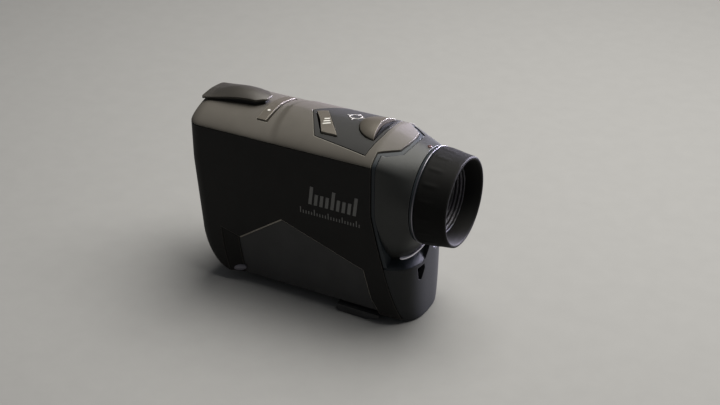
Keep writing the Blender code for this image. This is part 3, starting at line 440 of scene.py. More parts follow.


# The edge colour in each look is a painted highlight along its sharp edges.
LOOKS = {
    "armour": finish("armour_rubber", (0.0085, 0.0081, 0.0074), 0.62, grain=0.5, depth=0.03, mottle=0.12,
                     edge_highlight=(0.085, 0.078, 0.066), specular=0.22, edge=0.3),
    # Pale colour for the arch's chamfer: a painted highlight, for light caught along that edge.
    "lip": finish("armour_lip_painted_highlight", (0.30, 0.276, 0.236), 0.5, grain=0.4, depth=0.02, mottle=0.12),
    "casing": finish("casing_plastic", (0.0330, 0.0330, 0.0335), 0.5, grain=0.6, depth=0.03,
                     edge_highlight=(0.05, 0.05, 0.05), specular=0.35),
    "bezel": finish("bezel_plastic", (0.0150, 0.0152, 0.0160), 0.42, grain=0.5, edge_highlight=(0.06, 0.06, 0.06)),
    "top_cover": finish("top_cover_paint", (0.092, 0.0845, 0.0725), 0.58, metallic=0.05, grain=0.18,
                        depth=0.008, mottle=0.06, specular=0.25, edge_highlight=(0.30, 0.285, 0.25), edge=0.3),
    "control_panel": finish("control_panel_plastic", (0.023, 0.0232, 0.0224), 0.6, grain=0.35,
                            depth=0.02, mottle=0.07, edge_highlight=(0.11, 0.11, 0.105), specular=0.3, edge=0.18),
    "hood": finish("hood_paint", (0.047, 0.0428, 0.0365), 0.45, metallic=0.25, grain=0.18, depth=0.008,
                   mottle=0.06, edge_highlight=(0.24, 0.22, 0.18), edge=0.3),
    "key": finish("key_paint", (0.125, 0.112, 0.092), 0.36, metallic=0.4, grain=0.18, depth=0.008,
                  mottle=0.06, edge_highlight=(0.30, 0.28, 0.23), edge=0.3),
    # Near-black scoop colour: painted shade on the fire key's hollow behind its ridge.
    "scoop": finish("scoop_painted_shade", (0.0045, 0.0050, 0.0062), 0.7, grain=0.8, depth=0.004, mottle=0.1,
                    specular=0.06),
    "turret": finish("turret_paint", (0.040, 0.0415, 0.0405), 0.40, metallic=0.4, grain=0.16, depth=0.006,
                     mottle=0.05, edge_highlight=(0.10, 0.104, 0.11), specular=0.2, edge=0.35),
    "trim": finish("trim_plastic", (0.022, 0.028, 0.033), 0.46, grain=0.3, depth=0.006, mottle=0.08,
                   edge_highlight=(0.045, 0.052, 0.060), specular=0.25, edge=0.2),
    "rear_cover": finish("rear_cover_plastic", (0.0175, 0.0190, 0.0200), 0.48, grain=0.35, depth=0.012,
                         mottle=0.08, edge_highlight=(0.09, 0.09, 0.10), specular=0.2),
    "dioptre_ring": finish("ring_metal", (0.20, 0.195, 0.22), 0.32, metallic=0.9, grain=0.3, depth=0.01,
                           brushed=(1.0, 6.0, 6.0)),
    "eyecup": finish("eyecup_rubber", (0.0072, 0.0072, 0.0068), 0.6, grain=0.4, depth=0.02, mottle=0.12,
                     edge_highlight=(0.05, 0.05, 0.048), specular=0.08),
    # Pale lilac metal for the bead under the turret's chin: a painted highlight.
    "fillet": finish("chin_painted_highlight", (0.74, 0.72, 0.80), 0.24, metallic=1.0, grain=0.4, depth=0.004,
                     mottle=0.04),
    # Pale lilac pad colour: a painted highlight at the foot of each front leg.
    "pad": finish("pad_painted_highlight", (0.155, 0.148, 0.175), 0.34, grain=0.4, depth=0.006, mottle=0.06),
    # The pale lilac edge colour here is a painted highlight on the baffle's steps and other edges.
    "blackened": finish("black_anodised", (0.012, 0.012, 0.013), 0.4, metallic=0.3, grain=0.25,
                        edge_highlight=(0.60, 0.58, 0.66), edge=0.2),
    "steel": finish("bright_steel", (0.55, 0.55, 0.57), 0.28, metallic=1.0, grain=0.2, brushed=(6, 1, 1)),
    "gilt": finish("gilt_brass", (0.70, 0.55, 0.26), 0.3, metallic=1.0, grain=0.3),
    "board": finish("circuit_board", (0.015, 0.10, 0.045), 0.45, grain=0.7, mottle=0.15),
    "black_plastic": finish("black_plastic", (0.018, 0.0185, 0.019), 0.5, grain=0.5,
                            edge_highlight=(0.045, 0.045, 0.045), specular=0.35),
    "latch": finish("latch_plastic", (0.044, 0.0445, 0.045), 0.5, grain=0.5, edge_highlight=(0.07, 0.07, 0.07),
                    specular=0.35),
    "cell_wrap": finish("cell_wrap", (0.04, 0.07, 0.16), 0.35, grain=0.6, coat=0.3),
    "clear_glass": finish("clear_glass", (0.80, 0.86, 0.88), 0.04, grain=2.0, depth=0.001, mottle=0.02,
                          transmission=0.95),
    "coated_glass": finish("coated_glass", (0.055, 0.040, 0.11), 0.05, grain=2.0, depth=0.001,
                           mottle=0.05, coat=1.0),
    "display": finish("display_glass", (0.02, 0.035, 0.025), 0.12, grain=1.0, depth=0.001, coat=0.5),
    "marking": finish("marking_paint", (0.125, 0.125, 0.120), 0.45, grain=0.2, depth=0.01, mottle=0.12,
                      edge_highlight=(0.16, 0.16, 0.155), edge=0.1),
    "icon": finish("icon_paint", (0.66, 0.65, 0.60), 0.5, grain=0.2, depth=0.01, mottle=0.08),
    "index": finish("index_paint", (0.05, 0.007, 0.005), 0.4, grain=0.2, depth=0.01, mottle=0.15),
}


# ---- body surfaces

def smooth_step(low, high, value):
    t = min(1.0, max(0.0, (value - low) / (high - low)))
    return t * t * (3 - 2 * t)


def nose_x(z):
    """Front face at a height: upright, then raked, then a quarter ellipse into the underside."""
    x = FRONT_X + NOSE_RAKE * max(0.0, AXIS_Z - z)
    fall = LEG_Z + NOSE_CORNER_Z - z
    if fall > 0:
        share = min(1.0, fall / NOSE_CORNER_Z)
        x += NOSE_CORNER_X * (1 - math.sqrt(1 - share * share))
    return x


def seam_x(z):
    """Rear edge of the sides at a height: upright beside the eyepiece, swept back below it."""
    fall = max(0.0, (REAR_SWEEP_Z - z) / (REAR_SWEEP_Z - LEG_Z))
    return REAR_X + REAR_SWEEP * fall ** 1.1


def crown(x):
    """Height of the crown over the side seam. It steps up at the fold and droops at the nose."""
    height = CROWN_FRONT + (CROWN_REAR - CROWN_FRONT) * smooth_step(*FOLD_X, x)
    nose = max(0.0, (FRONT_X + NOSE_DROP_LENGTH - x) / NOSE_DROP_LENGTH)
    return height * (1 - NOSE_DROP * nose * nose)


def slanted_crown(x, share):
    """The fold runs back from the crown to the seams, so it starts further forward at the crown."""
    near_fold = FRONT_X + 8 < x < REAR_X - 5
    return crown(x + FOLD_SLANT * arch(share)) if near_fold else crown(x)


def plan_half(x):
    """Half width of the body at a length, with round upright corners at the front."""
    ahead = min(PLAN_CORNER, max(0.0, FRONT_X + PLAN_CORNER - x))
    return HALF_WIDTH - PLAN_CORNER + math.sqrt(PLAN_CORNER ** 2 - ahead ** 2)


def arch(share):
    """The crown's height at a share of the half width, as a share of its height in the middle."""
    return max(0.0, 1 - abs(share) ** CROWN_POWER) ** (1 / CROWN_POWER)


def arch_shares():
    """Shares of the half width from left to right, denser towards the seams."""
    return [-math.cos(math.pi * i / ARCH_STEPS) for i in range(ARCH_STEPS + 1)]


def roof_z(x, y, lift=0.0):
    """Height of the top cover's surface."""
    return TOP_Z + slanted_crown(x, y / plan_half(x)) * arch(y / plan_half(x)) + lift


def top_section(x, drop=0.0, skirt=0.0, lift=0.0):
    """Ring of the top cover's section: the arch, then a straight floor at the seam."""
    half = plan_half(x) - 0.9 * drop
    points = [
        (x, s * half, TOP_Z + lift + (slanted_crown(x, s) - drop) * arch(s)) for s in arch_shares()
    ]
    points[0] = (x, -half, TOP_Z - skirt)
    points[-1] = (x, half, TOP_Z - skirt)
    return points


def top_stations():
    """Lengths of the top cover's rings, closest round the nose and over the fold."""
    corner = [FRONT_X + PLAN_CORNER * (1 - math.cos(math.pi / 2 * i / 16)) for i in range(17)]
    return corner + stations(-46.0, -24.0, 16) + stations(-23.0, -8.0, 31) + stations(-7.0, REAR_X, 26)


def section_radius(angle, drop):
    """Distance from the optical axis to the body's section at the rear seam, at an angle from +Y."""
    c, s = math.cos(angle), math.sin(angle)
    if s < 0:
        wide, deep = HALF_WIDTH - drop, CHIN - drop
        sum_of_powers = abs(c / wide) ** CHIN_POWER + abs(s / deep) ** CHIN_POWER
        return sum_of_powers ** (-1 / CHIN_POWER)
    low, high = 5.0, 40.0
    for _ in range(40):
        middle = (low + high) / 2
        y, z = middle * c, AXIS_Z + middle * s
        if abs(y) >= HALF_WIDTH - 0.9 * drop:
            inside = False
        else:
            roof = SEAM_Z + (CROWN_REAR - drop) * arch(y / (HALF_WIDTH - 0.9 * drop))
            inside = z < roof
        low, high = (middle, high) if inside else (low, middle)
    return low


def turret_section(x, drop=0.0):
    """Ring of the eyepiece turret: the body's section at its front, a circle at its rear."""
    t = min(1.0, max(0.0, (x - REAR_X) / (TURRET_END_X - REAR_X)))
    points = []
    for i in range(TURRET_STEPS):
        angle = 2 * math.pi * i / TURRET_STEPS
        s = math.sin(angle)
        blend = t ** CHIN_BLEND if s < 0 else t
        blend = t + (blend - t) * min(1.0, abs(s) * 1.5)
        radius = section_radius(angle, drop) * (1 - blend) + (TURRET_END_R - drop) * blend
        points.append((x, radius * math.cos(angle), AXIS_Z + radius * s))
    return points


def turret_body(low, high=TURRET_END_X, drop=0.0):
    return loft([turret_section(x, drop) for x in stations(low, high, 31)])


def tongue_outline(grow, front=10.0):
    """Plan of the top cover's rear edge, whose middle reaches back over the turret."""
    rear, tip = REAR_X + grow, TONGUE_X + grow
    half = [
        (front, WIDE), (rear, WIDE), (rear, 13.2), (rear + 1.2, 12.0 + grow * 0.6),
        (tip - 1.4, 7.6 + grow * 0.6), (tip - 0.3, 3.6 + grow * 0.3),
    ]
    return half + [(tip, 0.0)] + mirrored(half)


def rear_profile(grow):
    """Side outline of everything ahead of the rear seam."""
    swept = [(seam_x(z) + grow, z) for z in stations(0.0, REAR_SWEEP_Z, 41)]
    foot = [(-FAR, BELOW_Z), (seam_x(0.0) + grow, BELOW_Z)]
    return foot + swept + [(REAR_X + grow, ABOVE_Z), (-FAR, ABOVE_Z)]


def front_region(grow):
    """Everything ahead of the rear seam and of the tongue: the cutter that parts front from rear."""
    sides = through(rear_profile(grow))
    return join(sides, column(tongue_outline(grow)))


# ---- casings

def stern_points(z, inset, back_inset=None):
    """The stern in plan at a height, from the left side round to the right. Its foot is narrower."""
    if back_inset is None:
        back_inset = inset
    fall = min(1.0, max(0.0, (STERN_TUCK_Z - z) / (STERN_TUCK_Z - STERN_LOW)))
    tuck = STERN_TUCK * (1 - math.sqrt(1 - 0.985 * fall * fall))
    half, length = HALF_WIDTH - inset, STERN_BACK - back_inset - STERN_X
    points = []
    for a in stations(-math.pi / 2, math.pi / 2, 65):
        along = max(0.0, math.cos(a)) ** STERN_POWER
        across = math.copysign(abs(math.sin(a)) ** STERN_POWER, a)
        reach = half - tuck * smooth_step(0.0, 1.0, along)
        points.append((STERN_X + length * along, reach * across, z))
    return points


def side_ring(z, inset):
    """Plan of the body's sides at a height: flat sides, round front corners and the stern."""
    front, radius = nose_x(z), PLAN_CORNER - inset
    middle = HALF_WIDTH - PLAN_CORNER
    corner = [
        (front + PLAN_CORNER - radius * math.sin(a), -middle - radius * math.cos(a), z)
        for a in stations(0.0, math.pi / 2, 21)
    ]
    flat = [(x, -HALF_WIDTH + inset, z) for x in stations(-30.0, 20.0, 11)]
    left = corner[::-1] + flat
    return left + stern_points(z, inset) + [(x, -y, z) for x, y, z in reversed(left)]


def side_heights():
    low = [LEG_Z + NOSE_CORNER_Z * (1 - math.cos(math.pi / 2 * i / 20)) for i in range(21)]
    return [STERN_LOW, 1.3, 2.4, 3.6] + low + stations(23.0, SEAM_Z - GAP / 2, 20)


def belly_line():
    """Underside in side view: level under the casing, then down to the foot of the stern."""
    return [(-FAR, LEG_Z), (29.5, LEG_Z), (32.5, 4.2), (35.8, 2.5), (38.6, STERN_LOW), (38.6, BELOW_Z)]


def side_body(inset, above=0.0):
    """The whole body up to the side seam, or further up by above."""
    rings = [side_ring(z, inset) for z in side_heights()]
    rings.insert(0, [(x, y, STERN_LOW - 3.0) for x, y, _ in rings[0]])
    if above:
        rings.append([(x, y, z + above) for x, y, z in rings[-1]])
    return loft(rings)


def belly_cutter():
    return through(belly_line() + [(60.0, BELOW_Z), (60.0, -20.0), (-FAR, -20.0)])


def arch_cutter(side):
    """The opening in the armour: a pointed arch with a chamfered lip, sloping in at its front edge."""
    sill = LEG_Z - 2
    crest = [(-12.7, 33.9), (21.8, 22.0), (23.4, 16.4), (25.1, 10.7), (27.2, 7.4), (30.2, sill)]
    outer = [(-35.6, sill), (-37.4, 8.4), (-38.7, 14.0), (-39.7, 23.2), (-31.7, 21.0)] + crest
    inner = [(-29.8, sill), (-30.6, 8.4), (-31.4, 14.0), (-32.4, 20.0), (-31.5, 20.9)] + crest
    wide = grown(outer, ARCH_LIP)
    rings = [(wide, HALF_WIDTH + 3), (wide, HALF_WIDTH), (outer, HALF_WIDTH - ARCH_LIP), (inner, SHELL_Y)]
    return loft([[(x, side * y, z) for x, z in line] for line, y in rings])


def armour(side):
    """Rubber side. The chamfer round its opening is painted pale as a highlight, except at the front edge.
    """
    name = "left" if side < 0 else "right"
    body = side_body(0.0)
    cut(
        body,
        belly_cutter(),
        side_body(ARMOUR_WALL, above=3.0),
        arch_cutter(side),
    )
    keep(body, through(rear_profile(0.0)))
    half = sorted((side * ARMOUR_INNER_Y, side * WIDE))
    keep(body, box((-FAR, FAR), half, (BELOW_Z, ABOVE_Z)))
    made = piece(body, name + "_armour_cover", "housing", "armour", [name + "_armour"])
    made.data.materials.append(LOOKS["lip"])
    # Chamfer faces behind the front edge take the pale lip colour, a painted highlight.
    for face in made.data.polygons:
        near = abs(face.center.y) > (HALF_WIDTH - ARCH_LIP) * MM
        if near and abs(face.normal.y) < 0.9 and face.center.x > LIP_HIGHLIGHT_FRONT_X * MM:
            face.material_index = 1


def nose_highlight_pad(side):
    """Smooth pale lilac pad at the foot of the armour's front leg, whose colour is a painted highlight."""
    name = "left" if side < 0 else "right"
    along, up = Vector((0.956, 0.0, 0.292)), Vector((-0.292, 0.0, 0.956))
    middle = Vector((-34.3, side * 16.6, 6.0))
    half_length, half_height, half_depth = 4.0, 1.45, 1.2
    rings = []
    for t in stations(-1.0, 1.0, 21):
        share = math.sqrt(max(0.003, 1 - t * t))
        centre = middle + along * (half_length * t)
        rings.append([
            centre + up * (half_height * share * math.cos(a))
            + Vector((0.0, half_depth * share * math.sin(a), 0.0))
            for a in full_turn(32)
        ])
    piece(loft(rings), name + "_nose_highlight_pad", "housing", "pad")


def front_bezel():
    """Front plate between the armour halves, with a window for each lens."""
    body = side_body(0.5)
    cut(body, side_body(2.0, above=3.0))
    keep(body, box((-FAR, -42.0), (-11.9, 11.9), (5.4, ABOVE_Z)))
    ahead, behind, centre = -70.0, -40.0, 0.01
    wide, narrow = LENS_R + 1.6, LENS_R + 0.4
    window = [(ahead, centre), (ahead, wide), (-52.6, wide), (-51.5, narrow), (behind, narrow),
              (behind, centre)]
    face_x = nose_x(EMITTER_Z)
    port = [(ahead, centre), (ahead, EMITTER_R + 1.0), (face_x + 1.2, EMITTER_R + 1.0),
            (face_x + 2.0, EMITTER_R), (behind, EMITTER_R), (behind, centre)]
    cut(body, turned(window), turned(port, z=EMITTER_Z))
    piece(body, "front_plate", "housing", "bezel", ["front_bezel"])


def roof(lift=0.0, skirt=0.0):
    """Everything under the top cover's surface, down to the seam or below it by skirt."""
    return loft([top_section(x, 0.0, skirt, lift) for x in top_stations()])


def rear_roof(drop, skirt, high):
    """Rings of the roof's rear part, which shrink towards the turret's end."""
    rings = []
    for x in stations(REAR_X, high, 20):
        t = (x - REAR_X) / (TURRET_END_X - REAR_X)
        ring = []
        for _, y, z in top_section(REAR_X, drop, skirt):
            radius = math.hypot(y, z - AXIS_Z)
            wanted = radius * (1 - t) + (TURRET_END_R - drop) * t
            share = wanted / radius
            ring.append((x, y * share, AXIS_Z + (z - AXIS_Z) * share))
        rings.append(ring)
    return rings


def whole_roof(drop=0.0, skirt=0.0, low=None, high=38.0):
    """The roof from the nose, or from low, to high."""
    places = [x for x in top_stations() if low is None or x > low]
    rings = [top_section(x, drop, skirt) for x in ([] if low is None else [low]) + places]
    return loft(rings[:-1] + rear_roof(drop, skirt, high))


def patch(outline, low_lift, high_lift):
    """A sheet that follows the top cover's surface, cut to a plan outline."""
    sheet = roof(high_lift)
    if low_lift is not None:
        cut(sheet, roof(low_lift, skirt=4.0))
    return keep(sheet, column(outline))


def panel_outline():
    half = [(-0.8, 12.6), (21.2, 15.4), (22.0, 11.0), (23.2, 5.0)]
    return [(-8.5, 0.0)] + half + [(23.6, 0.0)] + mirrored(half)


def fire_outline():
    """A half ellipse in front and a flat point behind."""
    bow = [
        (21.2 - 9.2 * math.cos(a), 8.8 * math.sin(a))
        for a in stations(-math.pi / 2, math.pi / 2, 41)
    ]
    return bow + [(22.6, 0.0)]


def mode_outline():
    return [(-6.2, -1.2), (-2.6, 0.9), (2.4, -5.2), (7.4, -11.0), (1.0, -11.0), (-2.5, -5.5)]


def mode_hole():
    """The mode key's opening has straight sides, so dark slivers show beside the key's waist."""
    return [(-6.6, -1.3), (-2.5, 1.3), (7.9, -11.3), (0.8, -11.4)]


def bar_outline(grow=0.0, slit=0.0):
    """Straight band across the crown. Its opening is grown all round, with a wider slit behind."""
    (front, rear), (left, right) = span("range_bar", "X"), span("range_bar", "Y")
    front, rear, left, right = front - grow, rear + max(grow, slit), left - grow, right + grow
    return fillet([(front, left), (rear, left), (rear, right), (front, right)], 0.3, 3)


def top_cover():
    """The cover's shell. The plan is kept last, because cutting after it turns the solid inside out."""
    body = whole_roof()
    cut(
        body,
        whole_roof(TOP_WALL, 6.0, FRONT_X + 2.2, 39.0),
        patch(grown(panel_outline(), GAP), -PANEL_DEPTH - GAP, 2.0),
        column(grown(fire_outline(), GAP)),
        column(grown(mode_hole(), 0.2)),
        column(bar_outline(GAP, 0.8)),
    )
    keep(body, column(tongue_outline(0.0, -70.0), 50.0))
    piece(body, "top_shell", "housing", "top_cover", ["top_cover"])


def control_panel():
    body = patch(panel_outline(), -PANEL_DEPTH, 0.05)
    cut(
        body,
        column(grown(fire_outline(), GAP)),
        column(mode_hole()),
    )
    piece(body, "key_panel", "housing", "control_panel", ["control_panel"])


def hood_outline():
    """The hood in plan: widest just behind the nose, with a narrow rear edge."""
    taper_x = HOOD_REAR_X - 3.4
    half = [(FRONT_X, -6.3), (FRONT_X + 0.6, -HOOD_HALF - 0.2), (taper_x, -4.6), (HOOD_REAR_X, -1.8)]
    return fillet(half + mirrored(half), 0.4, 3)


def hood_sheet(lift, front):
    """Everything under a dome over the nose: the crown, raised by lift, flared and swollen."""
    rings = []
    for x in [front] + stations(FRONT_X, HOOD_REAR_X + 2, 40):
        dome = lift - HOOD_DROP * ((x - HOOD_MIDDLE_X) / HOOD_REACH) ** 2
        along = max(0.0, 1 - ((x - SWELL_X) / SWELL_REACH) ** 2)
        ring = []
        for s in arch_shares():
            y = s * HALF_WIDTH
            across = (y / HOOD_HALF) ** 2
            swell = HOOD_SWELL * max(0.0, 1 - across) * along
            ring.append((x, y, TOP_Z + CROWN_FRONT * arch(s) + dome + HOOD_FLARE * across + swell))
        ring[0] = (x, -HALF_WIDTH, SEAM_Z - 5)
        ring[-1] = (x, HALF_WIDTH, SEAM_Z - 5)
        rings.append(ring)
    return loft(rings)


def hood():
    """A domed plate over the nose. Its sides stand clear of the roof on a dark, narrower foot."""
    plate_lift, plate_thick, overlap = 1.7, 0.7, 0.02
    foot_length, foot_width = 0.9, 0.8
    plate = hood_sheet(plate_lift, FRONT_X - 1.0)
    cut(plate, hood_sheet(plate_lift - plate_thick, FRONT_X - 2.0))
    keep(plate, column(hood_outline()))
    piece(plate, "nose_hood", "housing", "hood", ["front_hood"], edge=0.12)
    foot = hood_sheet(plate_lift - plate_thick + overlap, FRONT_X - 1.0)
    cut(foot, roof(0.05, skirt=8.0))
    inner = [
        (HOOD_MIDDLE_X + (x - HOOD_MIDDLE_X) * foot_length, foot_width * y) for x, y in hood_outline()
    ]
    keep(foot, column(inner))
    piece(foot, "nose_hood_foot", "housing", "black_plastic")


def button(outline, lift):
    """A key whose top follows the roof, down to the button floor."""
    body = patch(outline, None, lift)
    return keep(body, box((-60, 60), (-WIDE, WIDE), (BUTTON_FLOOR, COLUMN_HIGH)))


def ridge_x(y):
    return RIDGE_X + RIDGE_BOW * (y / 9) ** 2


def ridge(back=0.0):
    """The bowed line that parts the fire key, moved back by a gap for the scoop."""
    return [(ridge_x(y) + back, y) for y in stations(-10.0, 10.0, 33)]


def key_body(lengths, widths, height):
    """A solid under height(x, y), cut to the fire key's outline above the button floor."""
    rings = []
    for x in lengths:
        ring = [(x, y, height(x, y)) for y in widths]
        rings.append(ring + [(x, KEY_HALF, COLUMN_LOW), (x, -KEY_HALF, COLUMN_LOW)])
    return keep(loft(rings), column(fire_outline(), BUTTON_FLOOR))


def dome_z(x, y):
    """The front of the fire key bulges most in its middle, with steep sides."""
    away = math.hypot((x - 20.4) / 8.6, y / 9.0)
    return roof_z(x, y, 0.15 + 1.9 * math.sqrt(max(0.0, 1 - away ** 2.2)))


def scoop_z(x, y):
    """The scoop falls from the ridge into a shallow hollow."""
    behind = x - ridge_x(y)
    hollow = 0.6 * math.exp(-(((behind - 1.3) / 1.0) ** 2)) * (1 - (y / 9.4) ** 2)
    return roof_z(x, y, 0.45 * max(0.0, 1 - behind / 2.0) + 0.05 - hollow)


def fire_parts():
    """The key is split by a bowed ridge into a domed front and a scoop behind it, whose near-black colour
    is painted shade.
    """
    dome = key_body(stations(11.0, 22.8, 40), stations(-KEY_HALF, KEY_HALF, 48), dome_z)
    keep(dome, column([(0.0, -10.0)] + ridge() + [(0.0, 10.0)]))
    piece(dome, "fire_key_dome", "fire_key", "key", ["fire_button"], edge=0.12)
    scoop = key_body(stations(19.6, 23.0, 28), stations(-KEY_HALF, KEY_HALF, 40), scoop_z)
    keep(scoop, column([(40.0, -10.0)] + ridge(GAP) + [(40.0, 10.0)]))
    piece(scoop, "fire_key_scoop_painted_shade", "fire_key", "scoop", ["fire_button_scoop"])


def other_buttons():
    mode = button(mode_outline(), 0.75)
    piece(mode, "mode_key_cap", "mode_key", "key", ["mode_button"], edge=0.2)
    bar = button(bar_outline(), 0.45)
    piece(bar, "range_key_cap", "range_key", "key", ["range_bar"], edge=0.15)


# ---- rear: turret, trim and lower cover

# Height, side inset and rear inset of the ledge under the turret
LEDGE = ((23.7, 0.3, 0.3), (24.9, 0.3, 0.3), (25.5, 1.4, 0.7), (26.3, 3.6, 1.2), (27.3, 6.4, 1.8),
         (28.6, 9.0, 2.3), (31.4, 11.0, 2.8))


def ledge_levels():
    """The ledge's levels, with six straight steps between each two."""
    levels = []
    for (z, side, back), (z2, side2, back2) in zip(LEDGE, LEDGE[1:]):
        for t in stations(0.0, 1.0, 7)[:-1]:
            levels.append((z + (z2 - z) * t, side + (side2 - side) * t, back + (back2 - back) * t))
    return levels + [LEDGE[-1]]


def stern_slice(z, inset, back_inset=None):
    ring = stern_points(z, inset, back_inset)
    return [(20.0, ring[0][1], z)] + ring + [(20.0, ring[-1][1], z)]


def rear_column(inset, low, high):
    rise = STERN_TUCK_Z - STERN_LOW
    curve = [STERN_LOW + rise * (1 - math.cos(math.pi / 2 * i / 24)) for i in range(25)]
    levels = [low] + [z for z in curve if low < z < high] + [high]
    return loft([stern_slice(z, inset) for z in levels])


def shoulder_peak(grow):
    """The raised point in the middle of the lower cover's top edge."""
    left = [(-6.2, 20.0), (-6.2, SHOULDER_Z), (-3.8, 25.3), (-1.8, 27.6)]
    outline = left + [(0.0, 30.1)] + [(-y, z) for y, z in reversed(left)]
    return prism(grown(outline, grow), 36.0, 60.0, "X")


def above_shoulder():
    top = box((10.0, 60.0), (-WIDE, WIDE), (SHOULDER_Z, 70.0))
    return cut(top, shoulder_peak(0.0))


def below_shoulder(grow):
    low = box((10.0, 60.0), (-WIDE, WIDE), (BELOW_Z, SHOULDER_Z + grow))
    return join(low, shoulder_peak(grow))


def rear_cover():
    """Hollow lower cover with a slanted strap slot at its left corner."""
    body = rear_column(STERN_INSET, STERN_LOW, 34.0)
    slot = fillet([(-9.2, 23.2), (-8.4, 17.8), (-6.4, 17.4), (-4.2, 21.5), (-4.8, 23.4)], 0.5, 3)
    cut(
        body,
        rear_column(STERN_INSET + STERN_WALL, STERN_LOW + STERN_WALL, 40.0),
        belly_cutter(),
        front_region(GAP),
        above_shoulder(),
        prism(slot, 36.5, 45.0, "X"),
    )
    piece(body, "stern_cover", "housing", "rear_cover", ["rear_cover"])


def turret():
    body = turret_body(22.0)
    cut(
        body,
        turret_body(20.0, RING_X + 2, TURRET_WALL),
        front_region(TRIM_WIDTH + GAP),
    )
    piece(body, "turret_shell", "housing", "turret", ["eyepiece_turret"], edge=0.3)


def trim_frame():
    """Thin band between the front of the body and the turret, joined to the ledge under the turret."""
    body = turret_body(22.0, drop=0.4)
    join(body, rear_column(0.5, SHOULDER_Z + 2 * GAP, AXIS_Z))
    cut(body, turret_body(20.0, RING_X + 2, TURRET_WALL + 0.2))
    keep(body, front_region(TRIM_WIDTH))
    cut(body, front_region(GAP))
    ledge = loft([stern_slice(*level) for level in ledge_levels()])
    rear = turret_body(22.0, drop=-GAP)
    cut(
        ledge,
        below_shoulder(LEDGE_CLEAR),
        cut(rear, front_region(TRIM_WIDTH - 0.1)),
        front_region(2 * GAP),
    )
    join(body, ledge)
    piece(body, "trim_band", "housing", "trim", ["trim_frame"])


def smooth_path(path, steps):
    """Points along a Catmull-Rom curve through the path."""
    last = len(path) - 1
    points = []
    for i in range(last):
        before, start, end, after = path[max(0, i - 1)], path[i], path[i + 1], path[min(last, i + 2)]
        for t in stations(0.0, 1.0, steps + 1)[:-1]:
            points.append((
                before * (-t + 2 * t * t - t ** 3) + start * (2 - 5 * t * t + 3 * t ** 3)
                + end * (t + 4 * t * t - 3 * t ** 3) + after * (t ** 3 - t * t)
            ) / 2)
    return points + [path[-1]]


def chin_highlight_bead():
    """Bright polished bead where the turret's chin meets the ledge, thin at the middle and full near its
    ends. Its pale lilac colour is a painted highlight.
    """
    half = [(33.4, 11.5, 27.1), (34.9, 10.4, 27.3), (36.4, 8.5, 27.75), (37.2, 6.9, 28.2),
            (37.8, 5.2, 28.6), (38.3, 3.4, 29.05)]
    left = [Vector((x, -y, z)) for x, y, z in half]
    right = [Vector(point) for point in reversed(half)]
    points = smooth_path(left + [Vector((38.7, 0.0, 29.5))] + right, 6)
    last = len(points) - 1
    rings = []
    for i, point in enumerate(points):
        along = (points[min(last, i + 1)] - points[max(0, i - 1)]).normalized()
        side = along.cross(Vector((0.0, 0.0, 1.0))).normalized()
        top = side.cross(along)
        share = abs(2 * i / last - 1)
        radius = (BEAD_R + BEAD_SWELL * share ** 2) * math.sqrt(max(0.02, 1 - share ** 12))
        rings.append([point + (side * math.cos(a) + top * math.sin(a)) * radius for a in full_turn(16)])
    piece(loft(rings), "chin_highlight_bead", "housing", "fillet")


# ---- eyepiece and lenses

def dioptre_ring():
    """Ring with a bright metal lip beside the eyecup."""
    lip_x, band_r, lip_r = CUP_X - 0.95, RING_R - 0.45, RING_R - 0.1
    profile = fillet([
        (RING_X, band_r), (lip_x, band_r), (CUP_X - 0.75, lip_r), (CUP_X - GAP, lip_r),
        (CUP_X - GAP, 15.0), (46.4, 15.0), (46.4, CELL_R + GAP), (36.5, CELL_R + GAP),
        (36.5, 15.4), (RING_X, 15.4),
    ], 0.12, 2)
    made = piece(turned(profile), "dioptre_band", "diopter", "trim", ["diopter_ring"])
    made.data.materials.append(LOOKS["dioptre_ring"])
    for face in made.data.polygons:
        outside = math.hypot(face.center.y, face.center.z - AXIS_Z * MM) > (RING_R - 0.35) * MM
        if outside and face.center.x > lip_x * MM:
            face.material_index = 1


def flute(x, radius, angle):
    """Shallow finger flutes round the base half of the eyecup's outside."""
    depth, count, outside_r = 0.18, 18, 16.4
    if radius < outside_r:
        return 0.0
    share = smooth_step(CUP_X + 0.8, CUP_X + 2.2, x) * (1 - smooth_step(CUP_X + 5.2, CUP_X + 8.0, x))
    return depth * share * (math.cos(count * angle / 2) ** 12 - 0.2)


def eyecup():
    """Rubber cup that widens to a rolled rim."""
    flare_end, base_r = RIM_X - 0.8, RIM_R + 0.1
    side = [(x, CUP_R + (base_r - CUP_R) * (x - CUP_X) / (flare_end - CUP_X))
            for x in stations(CUP_X + 0.4, flare_end, 30)]
    rim = [(RIM_X - 0.3, RIM_R - 0.02), (RIM_X, RIM_R - 0.4), (RIM_X, 16.1), (RIM_X - 0.25, 15.75),
           (flare_end, 15.5)]
    inside = [(50.0, 14.8), (46.8, 14.0), (46.8, 15.3), (CUP_X, 15.3), (CUP_X, CUP_R - 0.4),
              (CUP_X + 0.12, CUP_R - 0.12)]
    piece(turned(side + rim + inside, steps=288, swell=flute), "eyecup_rubber", "diopter",
          "eyecup", ["eyecup"])


def eyepiece_cell():
    """Sliding tube. Its rear end steps inwards as a light baffle; the bright edge on each step is a
    painted highlight.
    """
    step = 1.1
    steps = []
    for i, radius in enumerate((12.7, 11.9, 11.0)):
        steps += [(TUBE_REAR_X - step * i, radius), (TUBE_REAR_X - step - step * i, radius)]
    profile = [(31.0, CELL_R), (TUBE_REAR_X, CELL_R)] + steps + [
        (43.5, 9.7), (37.4, 9.7), (37.4, 9.0), (36.4, 9.0), (36.4, 11.5), (31.0, 11.5),
    ]
    piece(turned(profile), "baffle_tube", "eyepiece", "blackened", ["eyepiece_cell"])


